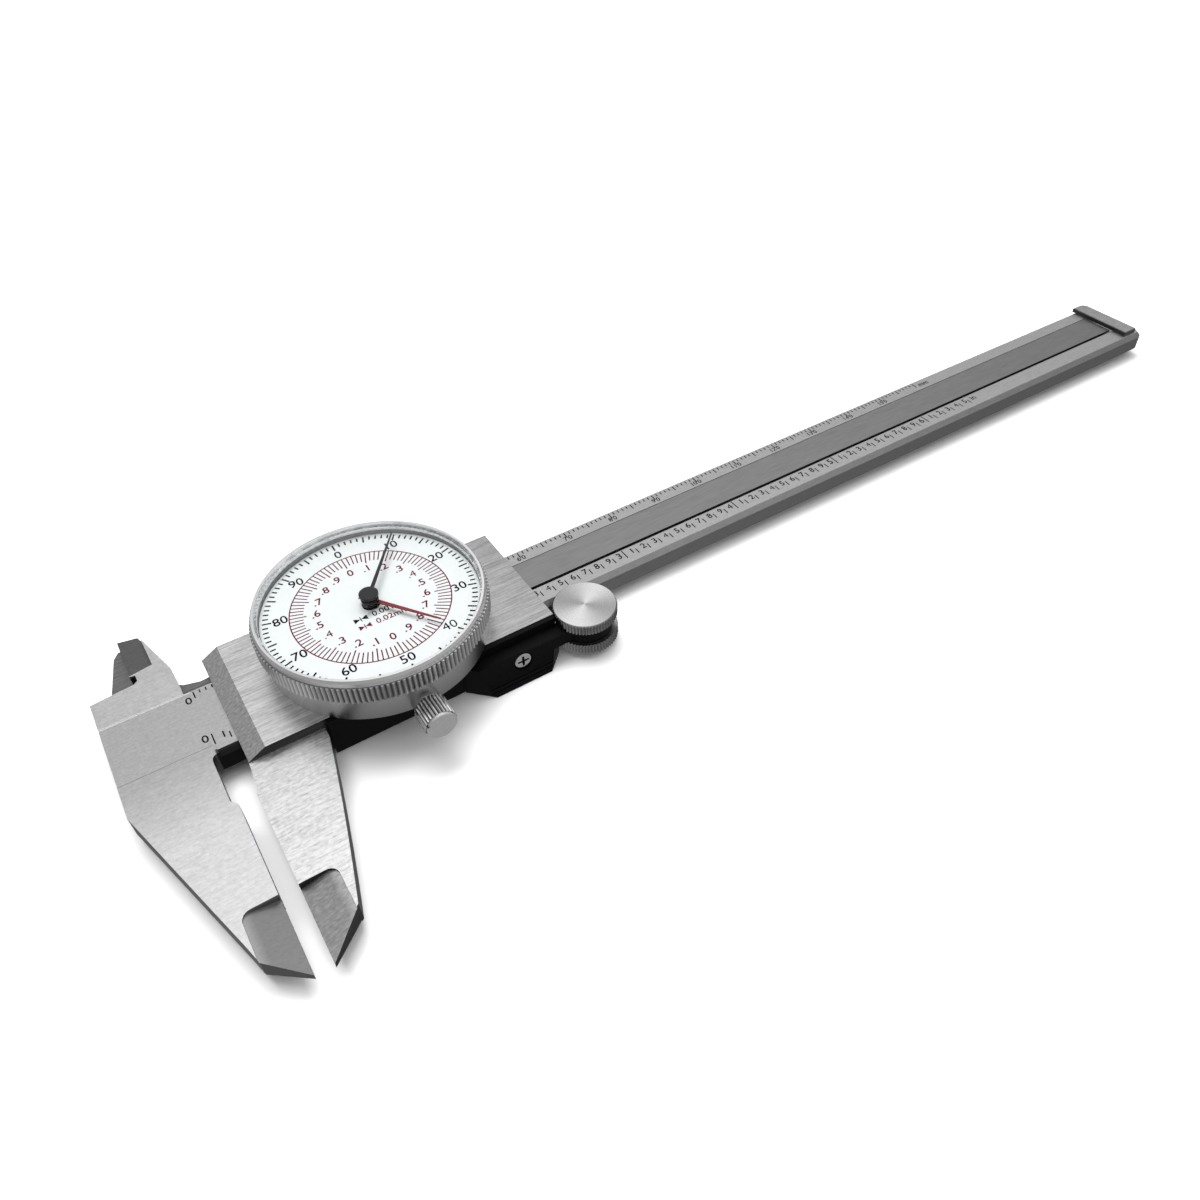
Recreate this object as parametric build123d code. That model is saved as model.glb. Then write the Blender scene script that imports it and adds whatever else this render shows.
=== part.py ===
from build123d import *
import os
from math import atan2, cos, degrees, pi, radians, sin, sqrt

# Dial caliper, 0-150 mm / 0-6 in, lying on its back with the dial up.
# Drafting frame: X runs along the beam from the fixed measuring face, Y across the beam towards the
# inside jaws, Z up out of the beam's front face. The written parts are moved so that the origin is the
# bottom centre of the whole caliper's box.

# ---- driving dimensions (mm) ----
beam_width = 16.0
beam_thickness = 3.8
beam_end = 221.0
beam_edge_chamfer = 0.9
beam_corner_radius = 2.2
head_back = 14.4
head_raise = 0.2
scale_band_top = 6.95
scale_band_bottom = -6.0
measuring_range = 152.4
rest_opening = 2.8

outside_jaw_depth = 40.85
outside_face_top = 11.0
fixed_jaw_tip_width = 5.3
moving_jaw_root_width = 12.9
moving_jaw_tip_width = 5.75
throat_relief = 0.9
knife_length = 12.6
knife_width = 5.4
knife_edge_cut = 1.5
knife_outer_cut = 0.35
knife_corner_radius = 1.5
inside_jaw_height = 18.0
inside_face_x = -7.5
inside_knife_width = 3.9
inside_knife_height = 10.2
head_top_height = 5.0
jaw_split_gap = 0.1

slider_left_lead = 0.8
slider_length = 53.4
slider_width = 25.0
deck_rise = 2.0
deck_gap = 0.1
bevel_run = 3.0
bevel_foot = 0.35
wall_gap = 0.03
gib_thickness = 0.6
back_plate_gap = 0.05
back_plate_thickness = 1.95

slot_start = 14.0
slit_bottom = -3.45
slit_width = 0.7
lip_thickness = 0.5
slot_depth = 1.45
rack_top_edge = 4.1
rack_fit = 0.03
rack_seam = 0.1
rack_pitch = 0.635
rack_tooth_height = 0.42
rod_width = 3.0
rod_groove_depth = 1.8
rod_thickness = 1.6
rod_root = 34.0
groove_start = 8.0
rod_side_gap = 0.1

dial_x = 30.5
housing_radius = 18.45
housing_height = 4.5
housing_floor = 0.8
housing_wall = 2.2
spigot_step = 1.35
spigot_height = 1.8
bezel_overhang = 0.85
bezel_fit = 0.08
bezel_height = 4.45
bezel_knurl_height = 3.1
bezel_teeth = 144
knurl_depth = 0.4
face_inset = 0.55
face_thickness = 0.3
crystal_rim = 0.7
crystal_rise = 2.0
crystal_thickness = 0.6
metric_hand_gap = 0.95
hand_spacing = 0.7
inch_hand_inset = 2.0
metric_hand_inset = 4.9

pinion_teeth = 10
wheel_inch_teeth = 100
wheel_metric_teeth = 127
centre_teeth = 40
pillar_inset = 3.2
inch_module = 0.12
wheel_thickness = 0.4
arbor_radius = 0.28
sleeve_radius = 0.85
running_fit = 0.05

roller_radius = 5.6
roller_hub_radius = 2.5
roller_disc = 2.0
roller_top = 2.2
roller_bottom = -4.5
roller_teeth = 60
bracket_thickness = 0.9
bracket_reach = 3.4
bracket_flare = 1.5
bracket_left_gap = 0.4
rest_run = 18.0
eye_radius = 4.6

knob_radius = 2.65
knob_length = 4.6
knob_teeth = 26
clamp_height = 3.2
boss_radius = 2.3
boss_reach = 1.7
shank_radius = 1.0

stop_width = 3.7
stop_height = 0.95
stop_setback = 2.0
stop_low_edge = -6.6

# ---- values worked out from them ----
half_beam = beam_width / 2
beam_back = -beam_thickness
half_slider = slider_width / 2
slider_left = rest_opening + slider_left_lead
slider_right = slider_left + slider_length
jaw_tip_y = -half_beam - outside_jaw_depth
outside_face_y = -half_beam - outside_face_top
inside_tip_y = half_beam + inside_jaw_height
head_top_y = half_beam + head_top_height
split_z = (head_raise + beam_back) / 2
plate_back = beam_back - back_plate_gap - back_plate_thickness
gib_face = half_beam + wall_gap
upper_wall_face = gib_face + gib_thickness + rack_fit
slit_top = slit_bottom + slit_width
pinion_y = (slit_bottom + slit_top) / 2
pinion_pitch_radius = pinion_teeth * rack_pitch / (2 * pi)
pinion_tip_radius = pinion_pitch_radius + 0.45 * rack_tooth_height
pitch_line_y = pinion_y + pinion_pitch_radius + 0.02
floor_top = deck_rise + housing_floor
spigot_radius = housing_radius - spigot_step
bezel_radius = housing_radius + bezel_overhang
face_radius = housing_radius - face_inset
pillar_circle = housing_radius - housing_wall - pillar_inset
centre_distance = inch_module * (wheel_inch_teeth + centre_teeth) / 2
metric_module = 2 * centre_distance / (wheel_metric_teeth + centre_teeth)
arbor_offset = sqrt(centre_distance ** 2 - pinion_y ** 2)
arbor_x = dial_x - arbor_offset
takeup_x = dial_x + arbor_offset
inch_level = floor_top + 0.4
metric_level = inch_level + wheel_thickness + 0.6
bridge_level = metric_level + wheel_thickness + 0.9
bridge_thickness = 0.7
shoulder_z = deck_rise + housing_height
bezel_bottom = shoulder_z + bezel_fit
bezel_top = bezel_bottom + bezel_height
face_bottom = bezel_bottom + 2.0
face_top = face_bottom + face_thickness
metric_pointer_z = face_top + metric_hand_gap
inch_pointer_z = metric_pointer_z + hand_spacing
roller_x = slider_right + roller_radius
roller_y = -half_beam - wall_gap - roller_radius
side_face = -half_slider
bracket_face = side_face - bracket_thickness
bracket_left = rest_opening + moving_jaw_root_width + bracket_left_gap
rest_left = slider_right - rest_run
rest_face = bracket_face - bracket_reach + bracket_thickness
knob_y = -housing_radius - boss_reach - 0.2
side_middle = (deck_rise + beam_back) / 2
lock_x = slider_left + 16.0
rod_tip = beam_end + rest_opening
origin_x = (rod_tip - head_back) / 2
origin_y = (inside_tip_y + jaw_tip_y) / 2
origin_z = plate_back


def block(x0, x1, y0, y1, z0, z1):
    """A plain block between two corners."""
    centre = ((x0 + x1) / 2, (y0 + y1) / 2, (z0 + z1) / 2)
    return Pos(*centre) * Box(x1 - x0, y1 - y0, z1 - z0)


def plate(points, z0, z1):
    """A flat plate with a straight-sided outline in X and Y."""
    outline = Polyline(*points, close=True)
    return Pos(0, 0, z0) * extrude(make_face(outline), z1 - z0)


def post(x, y, z0, z1, radius):
    """A round post along Z."""
    return Pos(x, y, (z0 + z1) / 2) * Cylinder(radius, z1 - z0)


def cross_post(x, z, y0, y1, radius):
    """A round post along Y."""
    return Pos(x, (y0 + y1) / 2, z) * Rot(90, 0, 0) * Cylinder(radius, y1 - y0)


def toothed_disc(teeth, tip_radius, root_radius, thickness, tooth_at=0.0, share=0.5):
    """A disc with straight-flanked teeth; one tooth points at the angle tooth_at (degrees)."""
    points = []
    for index in range(teeth):
        middle = radians(tooth_at) + 2 * pi * index / teeth
        root_half = pi / teeth * 0.62
        tip_half = pi / teeth * share
        for angle, radius in (
            (middle - root_half, root_radius),
            (middle - tip_half, tip_radius),
            (middle + tip_half, tip_radius),
            (middle + root_half, root_radius),
        ):
            points.append((radius * cos(angle), radius * sin(angle)))
    return extrude(make_face(Polyline(*points, close=True)), thickness)


def knurled_disc(teeth, radius, depth, thickness):
    """A disc with straight V-shaped knurling on its rim."""
    points = []
    for index in range(teeth):
        crest = 2 * pi * index / teeth
        valley = crest + pi / teeth
        points.append((radius * cos(crest), radius * sin(crest)))
        points.append(((radius - depth) * cos(valley), (radius - depth) * sin(valley)))
    return extrude(make_face(Polyline(*points, close=True)), thickness)


def gear(teeth, module, thickness, tooth_at):
    """A fine instrument gear with thin teeth that leave backlash."""
    pitch_radius = teeth * module / 2
    tip_radius = pitch_radius + 0.8 * module
    root_radius = pitch_radius - 1.15 * module
    return toothed_disc(teeth, tip_radius, root_radius, thickness, tooth_at, 0.24)


def knife_cutter(face_x, outward, y0, y1, edge_z, outer_z, above):
    """The wedge ground off a jaw beside its measuring edge; deepest at the edge."""
    outer_x = face_x + outward * knife_width
    beyond_x = face_x - outward * 1.0
    edge_slope = (edge_z - outer_z) / knife_width
    beyond_z = edge_z + edge_slope
    profile = Polyline(
        (outer_x, outer_z),
        (outer_x, above),
        (beyond_x, above),
        (beyond_x, beyond_z),
        close=True,
    )
    face = Plane.XZ * make_face(profile)
    wedge = Pos(0, y1, 0) * extrude(face, y1 - y0)
    upright = wedge.edges().filter_by(Axis.Z)
    corner = upright.sort_by(lambda edge: outward * edge.center().X + edge.center().Y)[-1:]
    return fillet(corner, knife_corner_radius)


# ---- the beam and what is fixed to it ----
def make_beam():
    """Hardened beam with the fixed outside and inside jaws, all one piece of steel."""
    bar = block(-head_back, beam_end, -half_beam, half_beam, beam_back, 0)
    end_corners = bar.edges().filter_by(Axis.Z).sort_by(Axis.X)[-2:]
    bar = fillet(end_corners, beam_corner_radius)
    long_edges = bar.faces().sort_by(Axis.Z)[-1].edges().filter_by(Axis.X)
    bar = chamfer(long_edges, beam_edge_chamfer)
    jaw = plate(
        [
            (-head_back, scale_band_bottom),
            (-head_back, -half_beam - 4.4),
            (-fixed_jaw_tip_width - 0.8, jaw_tip_y + 7.8),
            (-fixed_jaw_tip_width, jaw_tip_y + 4.8),
            (0, jaw_tip_y),
            (0, outside_face_y),
            (-throat_relief, outside_face_y + 1.3),
            (-throat_relief, -half_beam - 1.1),
            (-throat_relief + 0.15, -half_beam - 0.5),
            (-throat_relief + 0.55, -half_beam - 0.1),
            (-throat_relief + 1.2, -half_beam + 0.05),
            (-throat_relief + 1.2, scale_band_bottom),
        ],
        beam_back,
        head_raise,
    )
    right_x = inside_face_x + knife_width + 1.1
    head = plate(
        [
            (-head_back, scale_band_top),
            (-head_back, head_top_y),
            (inside_face_x + 0.2, head_top_y + 0.7),
            (inside_face_x + 0.9, head_top_y + 1.2),
            (inside_face_x + 0.9, head_top_y + 2.6),
            (inside_face_x, head_top_y + 2.8),
            (inside_face_x, inside_tip_y),
            (inside_face_x + 3.3, inside_tip_y - 0.7),
            (inside_face_x + 4.0, inside_tip_y - 3.2),
            (right_x - 0.2, half_beam + 6.0),
            (right_x, half_beam + 0.6),
            (right_x, scale_band_top),
        ],
        split_z + jaw_split_gap / 2,
        head_raise,
    )
    body = bar + jaw + head
    front_grind = knife_cutter(
        0, -1, jaw_tip_y - 1, jaw_tip_y + knife_length,
        head_raise - knife_edge_cut, head_raise - knife_outer_cut, head_raise + 1,
    )
    back_grind = knife_cutter(
        0, -1, jaw_tip_y - 1, jaw_tip_y + knife_length,
        beam_back + knife_edge_cut, beam_back + knife_outer_cut, beam_back - 1,
    )
    inside_low = inside_tip_y - inside_knife_height
    inside_grind = plate(
        [
            (inside_face_x - 1.0, inside_low),
            (inside_face_x + inside_knife_width, inside_low + 0.8),
            (inside_face_x + inside_knife_width - 0.3, inside_tip_y + 1),
            (inside_face_x - 1.0, inside_tip_y + 1),
        ],
        head_raise - 0.8,
        head_raise + 1,
    )
    bed_low = pinion_y - pinion_tip_radius - 0.15
    rack_bed = block(slot_start, beam_end + 1, bed_low, rack_top_edge, -slot_depth, -lip_thickness)
    rack_mouth = block(slot_start, beam_end + 1, slit_bottom, rack_top_edge, -lip_thickness, 1)
    groove_half = rod_width / 2 + rod_side_gap
    groove_floor = beam_back + rod_groove_depth
    rod_groove = block(
        groove_start, beam_end + 1, -groove_half, groove_half, beam_back - 1, groove_floor
    )
    body = body - front_grind - back_grind - inside_grind - rack_bed - rack_mouth - rod_groove
    for x, y in rack_screw_places():
        body -= post(x, y, beam_back - 1, 0, 0.62)
        body -= Pos(x, y, beam_back + 0.3) * Cone(1.25, 0.6, 0.62)
    for x, y in stop_screw_places():
        body -= post(x, y, beam_back - 1, 1, 0.72)
        body -= post(x, y, beam_back - 1, beam_back + 0.9, 1.35)
    return body


def rack_screw_places():
    """Where the rack is screwed on from the back, beside the depth-rod groove."""
    first = slot_start + 6.0
    last = beam_end - 14.0
    return [(first + (last - first) * step / 3, 2.75) for step in range(4)]


def stop_screw_places():
    """Where the end stop is screwed on from the back."""
    x = beam_end - stop_setback - stop_width / 2
    return [(x, 5.4), (x, -5.6)]


def make_rack():
    """Rack in its slot: a plain strip on top, teeth below it along the slit."""
    left = slot_start + 0.2
    right = beam_end - stop_setback - stop_width - 0.3
    strip = block(left, right, slit_top, rack_top_edge - rack_seam, -lip_thickness, -rack_fit)
    tip_y = pitch_line_y - 0.45 * rack_tooth_height
    root_y = pitch_line_y + 0.55 * rack_tooth_height
    floor_z = -slot_depth + rack_fit
    core = block(left, right, root_y, rack_top_edge - rack_fit, floor_z, -lip_thickness)
    first = arbor_x - rest_opening - 6 * rack_pitch
    count = int((measuring_range + 14 * rack_pitch) / rack_pitch)
    mesh_shift = ((rest_opening / rack_pitch) % 1.0) * rack_pitch
    points = [(left + 0.1, root_y + 0.2)]
    for index in range(count):
        middle = first + mesh_shift + (index + 0.5) * rack_pitch
        points.append((middle - 0.30 * rack_pitch, root_y))
        points.append((middle - 0.13 * rack_pitch, tip_y))
        points.append((middle + 0.13 * rack_pitch, tip_y))
        points.append((middle + 0.30 * rack_pitch, root_y))
    points.append((points[-1][0] + rack_pitch, root_y + 0.2))
    teeth = plate(points, floor_z, -lip_thickness)
    body = strip + core + teeth
    for x, y in rack_screw_places():
        body -= post(x, y, -slot_depth - 1, -0.45, 0.5)
    return body


def make_rack_screws():
    """Countersunk screws that hold the rack, put in from the back."""
    screws = []
    for x, y in rack_screw_places():
        shank = post(x, y, beam_back + 0.05, -0.5, 0.48)
        head = Pos(x, y, beam_back + 0.33) * Cone(1.2, 0.55, 0.56)
        slot = block(x - 2, x + 2, y - 0.12, y + 0.12, beam_back - 1, beam_back + 0.3)
        screws.append(shank + head - slot)
    return Compound(children=screws)


def make_end_stop():
    """Stop bar across the free end of the beam."""
    x1 = beam_end - stop_setback
    bar = block(x1 - stop_width, x1, stop_low_edge, half_beam, 0, stop_height)
    corner = bar.edges().filter_by(Axis.Z).sort_by(Axis.X)[-2:].sort_by(Axis.Y)[-1:]
    bar = fillet(corner, 1.6)
    bar = chamfer(bar.faces().sort_by(Axis.Z)[-1].edges(), 0.15)
    for x, y in stop_screw_places():
        bar -= post(x, y, -1, 0.7, 0.6)
    return bar


def make_end_stop_screws():
    """Cheese-head screws that hold the end stop."""
    screws = []
    for x, y in stop_screw_places():
        shank = post(x, y, beam_back + 0.5, 0.65, 0.58)
        head = post(x, y, beam_back + 0.12, beam_back + 0.88, 1.25)
        slot = block(x - 2, x + 2, y - 0.15, y + 0.15, beam_back - 1, beam_back + 0.45)
        screws.append(shank + head - slot)
    return Compound(children=screws)


# ---- the slider ----
def make_slider_body():
    """Sliding jaw: deck over the beam, two side rails, the outside jaw and the inside-jaw arm."""
    top_z = deck_rise
    section = Polyline(
        (slider_left, deck_gap),
        (slider_left, bevel_foot),
        (slider_left + bevel_run, top_z),
        (slider_right, top_z),
        (slider_right, deck_gap),
        close=True,
    )
    deck = Pos(0, half_slider, 0) * extrude(Plane.XZ * make_face(section), slider_width)
    lower_face = -half_beam - wall_gap
    lower_rail = block(slider_left, slider_right, -half_slider, lower_face, beam_back, deck_gap)
    upper_rail = block(slider_left, slider_right, upper_wall_face, half_slider, beam_back, deck_gap)
    face_x = rest_opening
    right_x = face_x + moving_jaw_root_width
    tip_right = (face_x + moving_jaw_tip_width, jaw_tip_y + 5.4)
    left_side = Polyline(
        tip_right,
        (face_x, jaw_tip_y),
        (face_x, outside_face_y + 0.2),
        (face_x + 0.35, outside_face_y + 1.1),
        (slider_left + 0.01, -half_slider + 0.4),
        (right_x, -half_slider + 0.4),
        (right_x, -half_slider - 2.0),
    )
    bulge = (face_x + moving_jaw_tip_width + 2.65, (jaw_tip_y - half_slider) / 2 - 2.9)
    right_side = ThreePointArc((right_x, -half_slider - 2.0), bulge, tip_right)
    jaw = Pos(0, 0, beam_back) * extrude(make_face(left_side + right_side), head_raise - beam_back)
    arm_top = split_z - jaw_split_gap / 2
    face = inside_face_x + rest_opening
    arm = plate(
        [
            (slider_left + 1.0, upper_wall_face),
            (slider_left + 1.0, half_slider - 1.8),
            (face + 6.9, half_slider - 2.1),
            (face + 4.1, half_slider - 1.3),
            (face + 2.2, half_slider + 0.3),
            (face + 0.7, half_slider + 2.2),
            (face, half_slider + 4.4),
            (face, inside_tip_y - 0.9),
            (face - 3.3, inside_tip_y - 1.0),
            (face - 4.3, inside_tip_y - 2.3),
            (face - 6.5, half_beam + 7.2),
            (face - 6.5, half_beam + 1.0),
            (face - 5.6, half_beam + 0.1),
            (slider_left - 0.5, half_beam + 0.1),
        ],
        beam_back,
        arm_top,
    )
    body = deck + lower_rail + upper_rail + jaw + arm
    front_grind = knife_cutter(
        face_x, 1, jaw_tip_y - 1, jaw_tip_y + knife_length,
        head_raise - knife_edge_cut, head_raise - knife_outer_cut, head_raise + 1,
    )
    back_grind = knife_cutter(
        face_x, 1, jaw_tip_y - 1, jaw_tip_y + knife_length,
        beam_back + knife_edge_cut, beam_back + knife_outer_cut, beam_back - 1,
    )
    grind_left = face - inside_knife_width
    inside_grind = block(
        grind_left, face + 1, half_beam + 7.0, inside_tip_y, beam_back - 1, beam_back + 0.8
    )
    body = body - front_grind - back_grind - inside_grind
    body -= post(arbor_x, pinion_y, -1, top_z + 1, arbor_radius + running_fit)
    for x, y in housing_screw_places():
        body -= post(x, y, deck_gap - 1, top_z + 1, 0.6)
    for x, y in plate_screw_places():
        body -= post(x, y, beam_back - 1, beam_back + 3.0, 0.75)
    for x in gib_screw_places():
        body -= cross_post(x, side_middle, upper_wall_face - 1, half_slider + 1, shank_radius + 0.02)
    bore = shank_radius + running_fit
    body -= cross_post(lock_x, side_middle, upper_wall_face - 1, half_slider + 1, bore)
    body -= cross_post(rest_screw_x(), rest_screw_z(), -half_slider - 1, -half_slider + 2.6, 0.8)
    return body


def housing_screw_places():
    """Three screws through the housing's floor into the deck."""
    return [(dial_x + 8.5 * cos(radians(a)), 8.5 * sin(radians(a))) for a in (90, 240, 300)]


def plate_screw_places():
    """Four screws that hold the back plate to the rails."""
    y = (half_slider + upper_wall_face) / 2
    return [(x, side * y) for x in (slider_left + 4.5, slider_right - 4.5) for side in (-1, 1)]


def gib_screw_places():
    """Set screws that press the gib strip, one near each end of the slider."""
    return [slider_left + 9.0, slider_right - 9.0]


def rest_screw_x():
    return rest_left + 10.0


def rest_screw_z():
    return side_middle - 1.0


def make_gib_strip():
    """Bronze strip that takes up the play along the beam's upper edge."""
    top_z = -beam_edge_chamfer - 0.1
    far_face = gib_face + gib_thickness
    return block(slider_left + 1.5, slider_right - 1.5, gib_face, far_face, beam_back + 0.2, top_z)


def make_gib_screws():
    """Slotted set screws in the upper rail."""
    screws = []
    for x in gib_screw_places():
        screw = cross_post(x, side_middle, gib_face + gib_thickness, half_slider - 0.3, shank_radius)
        slot_low = half_slider - 0.9
        slot = block(x - 2, x + 2, slot_low, half_slider + 1, side_middle - 0.15, side_middle + 0.15)
        screws.append(screw - slot)
    return Compound(children=screws)


def make_back_plate():
    """Black plate that closes the slider behind the beam; the caliper rests on it."""
    z1 = beam_back - back_plate_gap
    body = block(slider_left, slider_right, -half_slider, half_slider, plate_back, z1)
    body = chamfer(body.faces().sort_by(Axis.Z)[0].edges(), 0.4)
    for side in (-1, 1):
        y0, y1 = sorted((side * (half_beam + gib_thickness + 0.2), side * half_slider))
        body += block(slider_left, slider_right, y0, y1, z1, beam_back)
    for x, y in plate_screw_places():
        body -= post(x, y, plate_back - 1, beam_back + 1, 0.85)
        body -= Pos(x, y, plate_back + 0.5) * Cone(1.75, 0.85, 1.0)
    body -= post(rod_screw_x(), 0, plate_back - 1, z1 + 1, 0.65)
    body -= Pos(rod_screw_x(), 0, plate_back + 0.35) * Cone(1.3, 0.65, 0.7)
    return body


def countersunk_screw(x, y, z0, z1, radius, head_radius):
    """A countersunk screw that points up, with a cross recess in its head."""
    head_height = head_radius - radius
    shank = post(x, y, z0 + 0.1, z1, radius)
    head = Pos(x, y, z0 + head_height / 2) * Cone(head_radius, radius, head_height)
    recess = block(x - 0.6 * head_radius, x + 0.6 * head_radius, y - 0.16, y + 0.16, z0 - 1, z0 + 0.4)
    recess += block(x - 0.16, x + 0.16, y - 0.6 * head_radius, y + 0.6 * head_radius, z0 - 1, z0 + 0.4)
    return shank + head - recess


def make_back_plate_screws():
    """Four countersunk screws."""
    screws = []
    for x, y in plate_screw_places():
        screws.append(countersunk_screw(x, y, plate_back + 0.05, beam_back + 2.8, 0.72, 1.65))
    return Compound(children=screws)


def rod_screw_x():
    return rod_root + 5.0


def make_depth_rod():
    """Depth rod in the beam's back groove, with a foot that meets the back plate."""
    top = beam_back + rod_groove_depth - 0.08
    rod = block(rod_root, rod_tip, -rod_width / 2, rod_width / 2, top - rod_thickness, top)
    foot_low = beam_back - back_plate_gap
    foot = block(rod_root, rod_root + 12, -rod_width / 2, rod_width / 2, foot_low, top)
    tip_relief = block(rod_tip - 5.0, rod_tip + 1, -rod_width, -rod_width / 2 + 0.9, beam_back - 1, 0)
    body = rod + foot - tip_relief
    return body - post(rod_screw_x(), 0, beam_back - 1, top - 0.3, 0.5)


def make_depth_rod_screw():
    return countersunk_screw(rod_screw_x(), 0, plate_back + 0.05, beam_back + 1.2, 0.48, 1.2)


def make_thumb_bracket():
    """Black side cover with the curved thumb rest and the eye that carries the roller."""
    side = block(bracket_left, slider_right, bracket_face, side_face, plate_back + 0.3, deck_rise - 0.1)
    front = Polyline(
        (side_face, 0.1),
        (rest_face + 0.3, 0.1),
        (rest_face, -0.4),
        (rest_face, -2.6),
    )
    curve = ThreePointArc(
        (rest_face, -2.6),
        (rest_face - 0.35 * bracket_flare, (plate_back - 2.6) / 2 + 0.2),
        (rest_face - bracket_flare, plate_back + 0.1),
    )
    back = Polyline(
        (rest_face - bracket_flare, plate_back + 0.1),
        (side_face, plate_back + 0.1),
        (side_face, 0.1),
    )
    section = Plane.YZ * make_face(front + curve + back)
    rest = Pos(rest_left, 0, 0) * extrude(section, slider_right - rest_left)
    rest = fillet(rest.edges().filter_by(Axis.Z).sort_by(Axis.Y)[:1], 0.4)
    corner = Pos(rest_left, rest_face - bracket_flare, 0) * Rot(0, 0, 45) * Box(5.5, 5.5, 30)
    far_place = Pos(slider_right + 1.0, rest_face - bracket_flare, -14.5)
    far_corner = far_place * Rot(0, 0, 45) * Box(6.5, 6.5, 24)
    rest = rest - corner - far_corner
    eye_z0 = roller_bottom + roller_disc + 0.1
    eye_z1 = roller_top - roller_disc - 0.1
    arm = block(slider_right - 8.0, roller_x, rest_face, side_face - 0.4, eye_z0, eye_z1)
    arm += post(roller_x, roller_y, eye_z0, eye_z1, eye_radius)
    body = side + rest + arm
    body -= post(roller_x, roller_y, eye_z0 - 1, eye_z1 + 1, roller_hub_radius + running_fit)
    body -= post(roller_x, roller_y, eye_z1, eye_z1 + 9, roller_radius + 0.25)
    body -= post(roller_x, roller_y, eye_z0 - 9, eye_z0, roller_radius + 0.25)
    for step in range(4):
        z = plate_back + 0.7 + 0.62 * step
        groove_y = rest_face - 0.75 + 0.17 * step
        body -= block(rest_left - 1, slider_right + 2, rest_face - 4, groove_y, z, z + 0.2)
    screw_x, screw_z = rest_screw_x(), rest_screw_z()
    body -= cross_post(screw_x, screw_z, rest_face - 4, side_face + 1, 0.85)
    body -= cross_post(screw_x, screw_z, rest_face - 4, rest_face + 0.9, 1.75)
    return body


def make_bracket_screw():
    """Cross-recess pan-head screw that holds the bracket to the side rail."""
    x, z = rest_screw_x(), rest_screw_z()
    head = cross_post(x, z, rest_face + 0.05, rest_face + 0.9, 1.65)
    head = fillet(head.edges().sort_by(Axis.Y)[:1], 0.35)
    shank = cross_post(x, z, rest_face + 0.9, side_face + 2.4, 0.75)
    recess = block(x - 1.05, x + 1.05, rest_face - 1, rest_face + 0.6, z - 0.22, z + 0.22)
    recess += block(x - 0.22, x + 0.22, rest_face - 1, rest_face + 0.6, z - 1.05, z + 1.05)
    return head + shank - recess


def make_dial_housing():
    """Turned housing: floor, outer wall, the spigot that the bezel turns on, and the clamp boss."""
    inner = housing_radius - housing_wall
    body = post(dial_x, 0, deck_rise, shoulder_z, housing_radius)
    body += post(dial_x, 0, shoulder_z, shoulder_z + spigot_height, spigot_radius)
    boss = cross_post(dial_x, clamp_height, -housing_radius - boss_reach, -inner - 0.3, boss_radius)
    body += boss
    body -= post(dial_x, 0, floor_top, shoulder_z + spigot_height + 1, inner)
    bore = shank_radius + running_fit
    body -= cross_post(dial_x, clamp_height, -housing_radius - boss_reach - 1, -inner + 1, bore)
    body -= post(arbor_x, pinion_y, 0, floor_top + 1, arbor_radius + running_fit)
    body -= post(dial_x, 0, deck_rise + 0.2, floor_top + 1, arbor_radius + running_fit)
    body -= post(takeup_x, pinion_y, deck_rise + 0.2, floor_top + 1, arbor_radius + running_fit)
    for x, y in housing_screw_places():
        body -= post(x, y, 0, floor_top + 1, 0.75)
    for x, y in pillar_places():
        body -= post(x, y, deck_rise + 0.2, floor_top + 1, 0.5)
    return body


def make_housing_screws():
    """Three pan-head screws down through the housing's floor."""
    screws = []
    for x, y in housing_screw_places():
        screw = post(x, y, deck_gap + 0.15, floor_top, 0.58)
        screw += post(x, y, floor_top, floor_top + 0.3, 1.0)
        screws.append(screw - block(x - 2, x + 2, y - 0.12, y + 0.12, floor_top + 0.15, floor_top + 1))
    return Compound(children=screws)


# ---- the movement inside the dial ----
def pillar_places():
    """Three pillars that carry the bridge, clear of the wheels."""
    angles = [radians(a) for a in (47, 133, 270)]
    return [(dial_x + pillar_circle * cos(a), pillar_circle * sin(a)) for a in angles]


def make_pillars():
    """Brass pillars riveted into the housing's floor."""
    pillars = []
    for x, y in pillar_places():
        pillar = post(x, y, floor_top, bridge_level, 1.1) + post(x, y, deck_rise + 0.3, floor_top, 0.5)
        pillars.append(pillar - post(x, y, bridge_level - 1.6, bridge_level + 1, 0.45))
    return Compound(children=pillars)


def make_bridge():
    """Bridge plate with the upper bearings of the movement."""
    z1 = bridge_level + bridge_thickness
    body = post(dial_x, 0, bridge_level, z1, housing_radius - housing_wall - 1.0)
    body -= post(dial_x, 0, bridge_level - 1, z1 + 1, sleeve_radius + running_fit)
    body -= post(arbor_x, pinion_y, bridge_level - 1, z1 + 1, arbor_radius + running_fit)
    body -= post(takeup_x, pinion_y, bridge_level - 1, z1 + 1, arbor_radius + running_fit)
    for x, y in pillar_places():
        body -= post(x, y, bridge_level - 1, z1 + 1, 0.6)
    return body


def make_bridge_screws():
    """Screws that hold the bridge to its pillars."""
    z1 = bridge_level + bridge_thickness
    screws = []
    for x, y in pillar_places():
        screw = post(x, y, bridge_level - 1.5, z1, 0.42) + post(x, y, z1, z1 + 0.4, 0.95)
        screws.append(screw - block(x - 2, x + 2, y - 0.12, y + 0.12, z1 + 0.2, z1 + 1))
    return Compound(children=screws)


def mesh_angle(from_x, to_x):
    """Direction, in degrees, from a side arbor to the centre arbor or back."""
    rise = -pinion_y if abs(to_x - dial_x) < 1e-6 else pinion_y
    return degrees(atan2(rise, to_x - from_x))


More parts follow.
